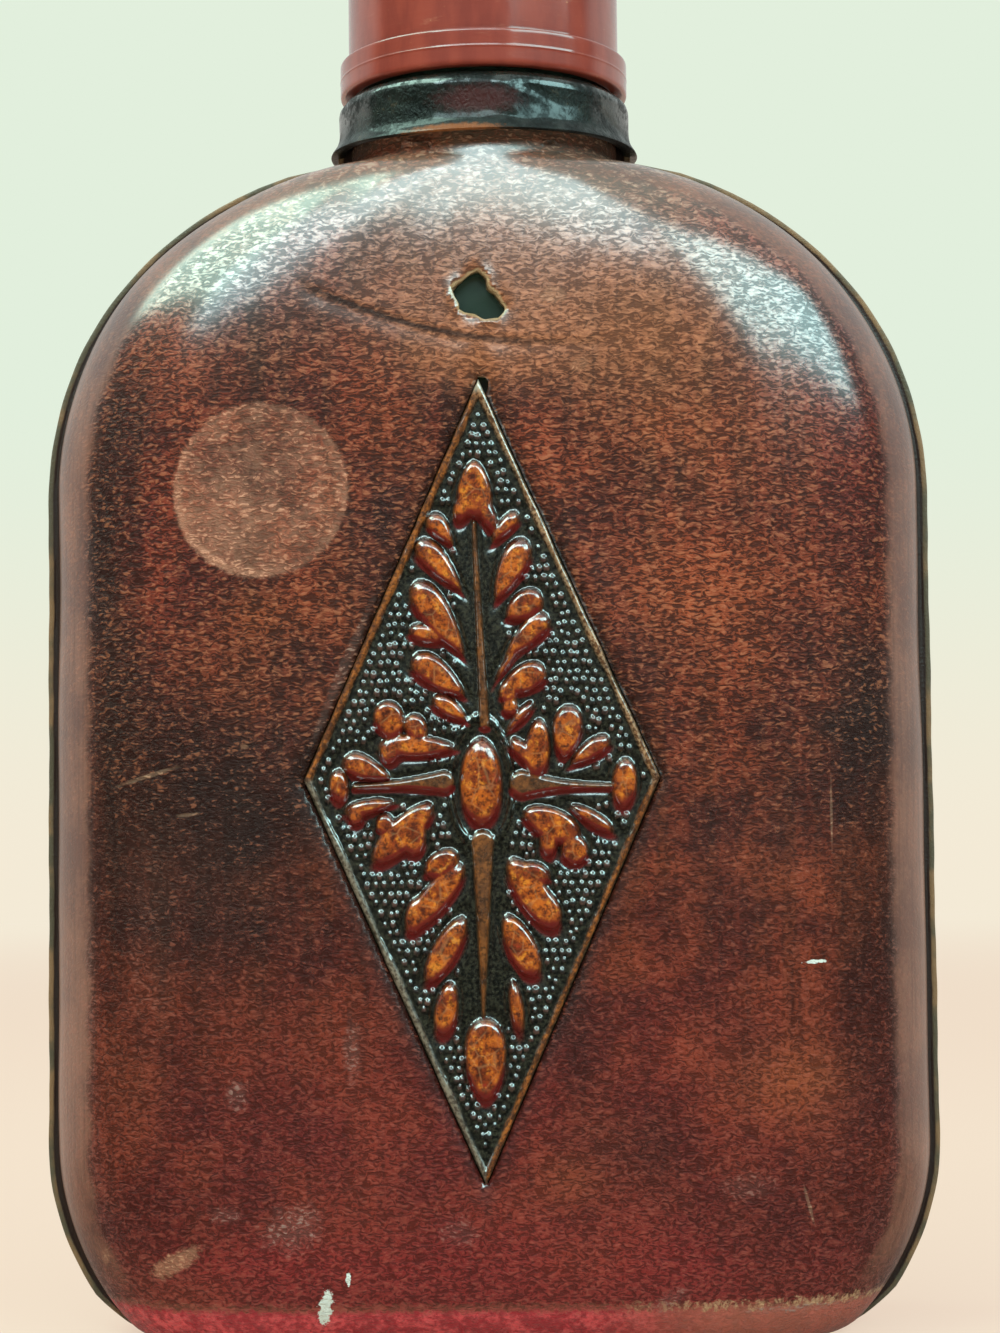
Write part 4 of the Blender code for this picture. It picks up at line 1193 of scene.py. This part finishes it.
def turned(radius, height, angles):
    """Points at a radius and a height, at every angle round the axis, 0 at the front."""
    radius, height, angles = np.broadcast_arrays(radius, height, angles[None])
    return np.stack([radius * np.sin(angles), -radius * np.cos(angles), height], axis=-1)


def add_turned(name, points, body, node, material, sharp=40.0, wrap_rows=False):
    """Weld a turned grid of points into a closed skin and add it as a piece."""
    mesh = mesh_from(name, points, grid_faces(*points.shape[:2], wrap_rows, wrap_columns=True))
    add_piece(weld(mesh), body, node, [material], sharp)


# %% The screw thread that the neck and the cap share
THREAD_PITCH = 4.2333 * MM


def thread_ridge(z, low, high, height, width, start):
    """Height of a helical ridge that climbs one pitch a turn, eased away at both ends.

    The distance along the axis to the nearest turn of the helix, as a share of the ridge's half width,
    gives half a cosine wave.
    """
    level = (z - start) / THREAD_PITCH - around[None] / (2.0 * math.pi)
    off = (level - np.round(level)) * THREAD_PITCH
    bump = np.where(np.abs(off) < width, 0.5 + 0.5 * np.cos(math.pi * off / width), 0.0)
    ends = clamp((z - off - low) / (1.2 * MM)) * clamp((high - z + off) / (1.2 * MM))
    return height * np.minimum(bump * 1.4, 1.0) * ends


# %% [markdown]
# # The bottle
# The dark green glass shows through the tear and, when the cap is off, as a neck with a moulded thread.
# It is one skin up the outside, over the lip and down the inside, so that light passes through a real
# wall.

# %% Glass finish
glass_finish, shader, place = new_finish("dark green glass")
haze = cloud(place, 0.5, 3.0, 0.6)
finish(shader, mix(haze, (44, 62, 54), (66, 84, 74)), 0.10 + 0.16 * haze, cloud(place, 0.25, 2.0), 0.05 * MM,
       Transmission_Weight=0.35, IOR=1.5)

# %% Blow the bottle
GLASS_WALL = 2.5 * MM
BEAD_OUTER_RADIUS = 13.8 * MM
FINISH_RADIUS = 12.55 * MM
BORE_RADIUS = 9.3 * MM
finish_z = neck_foot_z + 5.7 * MM
bead_foot_z = neck_foot_z + 3.1 * MM

rows = body_rows(0.4)
rows = rows[rows < neck_foot_z - 0.05 * MM][::-1]
body_out = glass_skin(around[None], rows[:, None], 0.0)
body_in = glass_skin(around[None], rows[:, None], -GLASS_WALL)[::-1]
radius, height = rounded([
    (NECK_RADIUS, neck_foot_z, 0.0),
    (NECK_RADIUS, bead_foot_z, 0.3 * MM),
    (BEAD_OUTER_RADIUS, bead_foot_z + 0.4 * MM, 0.7 * MM),
    (BEAD_OUTER_RADIUS, finish_z - 0.1 * MM, 0.8 * MM),
    (FINISH_RADIUS, finish_z, 0.25 * MM),
    (FINISH_RADIUS, mouth_z, 0.9 * MM),
    (BORE_RADIUS, mouth_z, 0.9 * MM),
    (BORE_RADIUS, neck_foot_z + 3.0 * MM, 1.2 * MM),
    (NECK_RADIUS - GLASS_WALL, neck_foot_z, 0.0),
], 0.22 * MM)
outside = (radius > FINISH_RADIUS - 0.01 * MM) & (height > finish_z)
thread = thread_ridge(height, finish_z + 2.4 * MM, mouth_z - 2.0 * MM, 0.95 * MM, 1.0 * MM, finish_z)
neck = turned(radius + outside * thread, height, around)
floor_out = np.broadcast_to([0.0, 0.0, base_z], (1, len(around), 3))
points = np.concatenate([floor_out, body_out, neck, body_in, floor_out + [0.0, 0.0, GLASS_WALL]])
add_turned("bottle_glass", points, "flask", "glass_bottle", glass_finish, sharp=60.0)

# %% [markdown]
# # The collar
# A strip of darker, harder-polished leather is wrapped round the neck to hide where the covers end. It
# rolls over the glass bead at its top, follows the neck down, and spreads on the shoulder, where its hem
# is a little higher at the two sides than in front. Fine wrinkles run across it where it was stretched.

# %% Collar finish
FRONT_RUB = (-0.5, 127.5, 6.0, 2.2, 0.0)
HEM_RUB = (-3.0, 124.3, 5.5, 0.7, 0.0)

collar_finish, shader, place = new_finish("black-green collar leather")
smear = cloud(place, 0.35, 4.0, 0.6)
fine = cloud(place, 1.8, 4.0, 0.65)
shake = fine - 0.5
colour = layered(
    mix(smear.step(0.35, 0.7), (9, 13, 11), (22, 30, 25)),
    (patch(place, FRONT_RUB, shake * 0.8).step(1.0, 0.3) * 0.75, (76, 34, 34)),
    ((fine * smear).step(0.34, 0.46) * 0.25, (104, 84, 60)),
    (patch(place, HEM_RUB, shake * 1.2).step(1.1, 0.5) * 0.8, (150, 84, 44)),
)
gloss = 0.10 + 0.90 * (smear + shake * 0.7).step(0.40, 0.60) * (0.3 + 0.7 * axis(place, "Z").step(125.6, 128.4))
finish(shader, colour, 0.34 + 0.2 * fine, pebbles(place, 0.55, 0.8), 0.10 * MM, Specular_IOR_Level=0.15,
       Coat_Weight=gloss, Coat_Roughness=0.12, Coat_IOR=1.7)

# %% Wrap the collar
SKIRT_FRONT = neck_foot_z - 0.2 * MM
SKIRT_RISE = 0.7 * MM
SKIRT_SPREAD = 0.80 * MM
SKIRT_FADE = 0.80 * MM
COLLAR_BORE = 14.62 * MM
COLLAR_BORE_TOP = 14.12 * MM
COLLAR_BORE_STEP = 127.2 * MM
# Outer radius at heights up the collar, in mm: the wall and the roll at its top
COLLAR_HEIGHTS = np.array([122.0, 126.0, 127.5, 128.6, 129.4, 130.0, 130.4, 130.62])
COLLAR_RADII = np.array([15.72, 15.72, 15.66, 15.66, 15.64, 15.42, 15.05, 14.75])


def smooth_through(at, xs, ys):
    """A curve through points that keeps its slope: each stretch is bent by the slopes at its ends."""
    slopes = np.gradient(ys, xs)
    k = np.clip(np.searchsorted(xs, at) - 1, 0, len(xs) - 2)
    wide = xs[k + 1] - xs[k]
    t = clamp((at - xs[k]) / wide)
    keep, turn_in = 2 * t**3 - 3 * t**2 + 1, t**3 - 2 * t**2 + t
    reach, turn_out = -2 * t**3 + 3 * t**2, t**3 - t**2
    return keep * ys[k] + turn_in * wide * slopes[k] + reach * ys[k + 1] + turn_out * wide * slopes[k + 1]


def flare(height):
    """How far the skirt spreads at a height over its hem."""
    return SKIRT_SPREAD * np.exp(-((height / SKIRT_FADE) ** 1.5))


angles = np.linspace(0.0, 2.0 * math.pi, 289)[:-1]
low = (SKIRT_FRONT + SKIRT_RISE * np.sin(angles) ** 2 + 0.10 * MM * np.sin(3.0 * angles + 0.4))[None]
share = np.linspace(1.0, 0.0, 34)[:, None]
outer_z = low + (collar_top - 0.02 * MM - low) * share
outer_r = smooth_through(outer_z / MM, COLLAR_HEIGHTS, COLLAR_RADII) * MM + flare(outer_z - low)
wave = 0.04 * np.sin(5.0 * angles + 1.0) + 0.03 * np.sin(11.0 * angles) + 0.03 * np.sin(23.0 * angles + 2.0)
outer_r = outer_r + MM * wave[None] * (1.0 - share) * share * 4.0
slant = angles[None] * 9.0 + outer_z / MM * 1.6
outer_r = outer_r - 0.07 * MM * np.maximum(np.sin(slant) * np.sin(angles[None] * 4.0 + 0.6), 0.0) ** 2
inner_z = low + 0.15 * MM + (collar_top - 0.25 * MM - low) * share[::-1]
inner_r = np.where(inner_z < COLLAR_BORE_STEP, COLLAR_BORE, COLLAR_BORE_TOP) + 0.6 * flare(inner_z - low)
radius = np.concatenate([outer_r, outer_r[-1:] - 0.25 * MM, inner_r[:1] + 0.25 * MM, inner_r,
                         inner_r[-1:] + 0.2 * MM])
height = np.concatenate([outer_z, outer_z[-1:] - 0.12 * MM, inner_z[:1] - 0.10 * MM, inner_z,
                         inner_z[-1:] + 0.18 * MM])
add_turned("collar_band", turned(radius, height, angles), "flask", "neck_collar",
           collar_finish, wrap_rows=True)

# %% [markdown]
# # The cap
# The cap is one moulding in oxblood plastic, straight and smooth, with a wider ring round its open end
# and a faint line where the halves of the mould met. Inside, its thread fits between the turns of the
# bottle's thread, half a pitch away, so that the two slide past each other as the cap is unscrewed.

# %% Cap finish
cap_finish, shader, place = new_finish("oxblood plastic")
cloudy = cloud(stretch(place, (1.0, 1.0, 0.3)), 0.35, 4.0, 0.6)
scuff = cloud(stretch(place, (0.25, 0.25, 1.2)), 1.1, 5.0, 0.7)
nick = cells(stretch(place, (0.42, 0.42, 0.9)), "F1") + cloud(place, 2.2, 3.0) * 0.35
colour = layered(
    mix(cloudy.step(0.3, 0.7), (132, 50, 40), (154, 64, 50)),
    (scuff.step(0.60, 0.78) * 0.4, (188, 118, 96)),
    (nick.step(0.24, 0.17) * 0.7, (202, 142, 104)),
)
finish(shader, colour, 0.34 + 0.22 * scuff, scuff, 0.03 * MM, Specular_IOR_Level=0.20,
       Coat_Weight=1.0, Coat_Roughness=0.12, Coat_IOR=1.7)

# %% Mould the cap
CAP_RADIUS = 14.57 * MM
CAP_BORE = 13.9 * MM
CAP_CEILING = cap_high.z - 1.8 * MM
RING_TOP = cap_low.z + 3.8 * MM
RING_RADIUS = cap_high.x - 0.02 * MM
MOULD_LINE = 0.05 * MM

radius, height = rounded([
    (0.0, cap_high.z - 0.10 * MM, 0.0),
    (CAP_RADIUS - 3.0 * MM, cap_high.z - 0.04 * MM, 1.0 * MM),
    (CAP_RADIUS, cap_high.z, 1.4 * MM),
    (CAP_RADIUS, RING_TOP, 0.22 * MM),
    (RING_RADIUS, RING_TOP, 0.30 * MM),
    (RING_RADIUS, RING_TOP - 1.75 * MM, 0.12 * MM),
    (RING_RADIUS + MOULD_LINE, RING_TOP - 1.90 * MM, 0.12 * MM),
    (RING_RADIUS, RING_TOP - 2.05 * MM, 0.12 * MM),
    (RING_RADIUS, cap_low.z, 0.45 * MM),
    (CAP_BORE, cap_low.z, 0.30 * MM),
    (CAP_BORE, CAP_CEILING, 0.30 * MM),
    (0.0, CAP_CEILING, 0.0),
], 0.25 * MM)
bore = np.abs(radius - CAP_BORE) < 0.01 * MM
thread = thread_ridge(height, cap_low.z + 1.8 * MM, CAP_CEILING - 3.0 * MM, 0.75 * MM, 0.85 * MM,
                      finish_z + THREAD_PITCH / 2.0)
add_turned("cap_shell", turned(radius - bore * thread, height, around), "cap", "cap",
           cap_finish, sharp=50.0)

# %% [markdown]
# # The liner
# A disc of pale board under the cap's ceiling seals the mouth. It only shows when the cap is off and
# seen from below, so a turned disc with softened edges and a ring pressed by the lip of the glass is
# enough.

# %% Liner
RING_PRESSED = 0.12 * MM
liner_finish, shader, place = new_finish("pale liner board")
fibres = cloud(place, 1.4, 4.0, 0.7)
colour = layered(
    mix(fibres.step(0.3, 0.7), (176, 158, 128), (206, 192, 164)),
    (cloud(place, 0.25, 2.0).step(0.5, 0.7) * 0.5, (140, 100, 70)),
)
finish(shader, colour, 0.8, fibres, 0.05 * MM)
radius, height = rounded([
    (0.0, liner_high.z, 0.0),
    (liner_high.x, liner_high.z, 0.25 * MM),
    (liner_high.x, liner_low.z, 0.25 * MM),
    (FINISH_RADIUS, liner_low.z, 0.2 * MM),
    (FINISH_RADIUS - 0.6 * MM, liner_low.z + RING_PRESSED, 0.3 * MM),
    (BORE_RADIUS + 0.6 * MM, liner_low.z + RING_PRESSED, 0.3 * MM),
    (BORE_RADIUS, liner_low.z, 0.2 * MM),
    (0.0, liner_low.z, 0.0),
], 0.8 * MM)
add_turned("liner_disc", turned(radius, height, around), "seal", "cap_liner", liner_finish)

# %% [markdown]
# # Floor, light and camera
# The flask stands on a pale floor in a pale room. The camera, the glossy rays and the rays that pass
# through glass see a background of plain colour, so the lamps don't have to be strong enough to whiten
# it. A broad cool window above and in front makes the long glints on the shoulders and the leaves.

# %% Floor
FLOOR_HALF = 3.0
SQUARE = np.array([(-1.0, -1.0, 0.0), (1.0, -1.0, 0.0), (1.0, 1.0, 0.0), (-1.0, 1.0, 0.0)])


def kinds_of_ray(tree):
    """Three wires, each 1 for its kind of ray: camera, glossy and transmitted."""
    path = tree.nodes.new("ShaderNodeLightPath")
    return [Wire(path.outputs[f"Is {kind} Ray"]) for kind in ("Camera", "Glossy", "Transmission")]


floor_material = bpy.data.materials.new("pale floor")
floor_material.use_nodes = True
tree = floor_material.node_tree
shader = tree.nodes["Principled BSDF"]
feed(shader.inputs["Base Color"], (236, 222, 208))
feed(shader.inputs["Roughness"], 0.9)
feed(shader.inputs["Specular IOR Level"], 0.1)
back = axis(node(tree, "TexCoord", (), "Object"), "Y")
away = back.step(0.0, 1.6)
paper = mix(away, (250, 227, 206), (244, 234, 214))
mirrored = mix(back.step(-0.05, 0.10), (40, 30, 26), (226, 204, 186))
seen, glossy, through = kinds_of_ray(tree)
glow = node(tree, "Emission", {"Color": mix(glossy, paper, mirrored), "Strength": 1.0})
share = (seen + through) * (0.75 + 0.25 * away) + glossy
both = node(tree, "MixShader", {0: share, 1: Wire(shader.outputs[0]), 2: glow})
feed(tree.nodes["Material Output"].inputs["Surface"], both)
floor = add_object("floor", mesh_from("floor", FLOOR_HALF * SQUARE, [[0, 1, 2, 3]]))
floor.data.materials.append(floor_material)

# %% World
world = bpy.data.worlds.new("pale room")
bpy.context.scene.world = world
world.use_nodes = True
tree = world.node_tree
heading = node(tree, "TexCoord", (), "Generated")
up, back = axis(heading, "Z"), axis(heading, "Y")
paper = mix(up.step(-0.02, 0.17), (244, 234, 214), (226, 239, 221))
room = mix(up.step(-0.3, 0.6), (214, 190, 172), (222, 234, 232))
room = mix(back.step(0.30, 0.02) * up.step(0.80, 0.45) * 0.93, room, (34, 28, 26))
ambient = mix(up.step(-1.0, 1.0), (158, 104, 82), (164, 124, 106))
seen, glossy, through = kinds_of_ray(tree)
colour = layered(ambient, (glossy, room), (seen.maths("MAXIMUM", seen, through), paper))
feed(tree.nodes["Background"].inputs["Color"], colour)
feed(tree.nodes["Background"].inputs["Strength"], 1.0)


# %% Lamps
LAMP_AIM = Vector((0.0, 0.0, 0.07))


def window_light(name, azimuth, elevation, distance, size, brightness, colour):
    """An area lamp that faces the flask from a heading round it and a height above it, in degrees.

    The brightness is how bright its face looks, where 1 is white paper; the power that gives it is
    that times pi and the area.
    """
    lamp = bpy.data.lights.new(name, "AREA")
    lamp.shape = "RECTANGLE"
    lamp.size, lamp.size_y = size
    lamp.energy = brightness * math.pi * size[0] * size[1]
    lamp.color = colour
    thing = add_object(name, lamp)
    turn, over = math.radians(azimuth), math.radians(elevation)
    out = Vector((math.sin(turn) * math.cos(over), -math.cos(turn) * math.cos(over), math.sin(over)))
    facing = out.to_track_quat("Z", "Y").to_matrix().to_4x4()
    thing.matrix_world = Matrix.Translation(LAMP_AIM + distance * out) @ facing
    thing.visible_camera = False


window_light("window, left", -72.0, 53.0, 0.90, (0.94, 0.38), 6.2, (0.62, 1.0, 0.84))
window_light("window, middle", -14.0, 39.5, 0.90, (0.76, 0.26), 5.6, (0.70, 0.98, 1.0))
window_light("window, right", 50.0, 35.0, 0.90, (0.84, 0.36), 6.0, (0.58, 1.0, 1.0))

# %% Camera
LENS_PIXELS = 2800.6
FRAME_HEIGHT_PIXELS = 1333.0
TILT = math.radians(3.618)
ROLL = math.radians(-0.612)
CAMERA_PLACE = (1.117 * MM, -299.36 * MM, 50.98 * MM)

camera_data = bpy.data.cameras.new("camera")
camera_data.sensor_width = 36.0
camera_data.lens = 36.0 * LENS_PIXELS / FRAME_HEIGHT_PIXELS
camera_data.clip_start = 0.01
camera = add_object("camera", camera_data)
right = np.array([1.0, 0.0, 0.0])
upward = np.array([0.0, -math.sin(TILT), math.cos(TILT)])
forward = np.array([0.0, math.cos(TILT), math.sin(TILT)])
rolled_right = right * math.cos(ROLL) + upward * math.sin(ROLL)
rolled_up = upward * math.cos(ROLL) - right * math.sin(ROLL)
turn = Matrix(np.stack([rolled_right, rolled_up, -forward], axis=1).tolist())
camera.matrix_world = Matrix.Translation(CAMERA_PLACE) @ turn.to_4x4()
bpy.context.scene.camera = camera
bpy.context.scene.view_settings.view_transform = "Standard"
print("lens", round(camera_data.lens, 2), "mm")
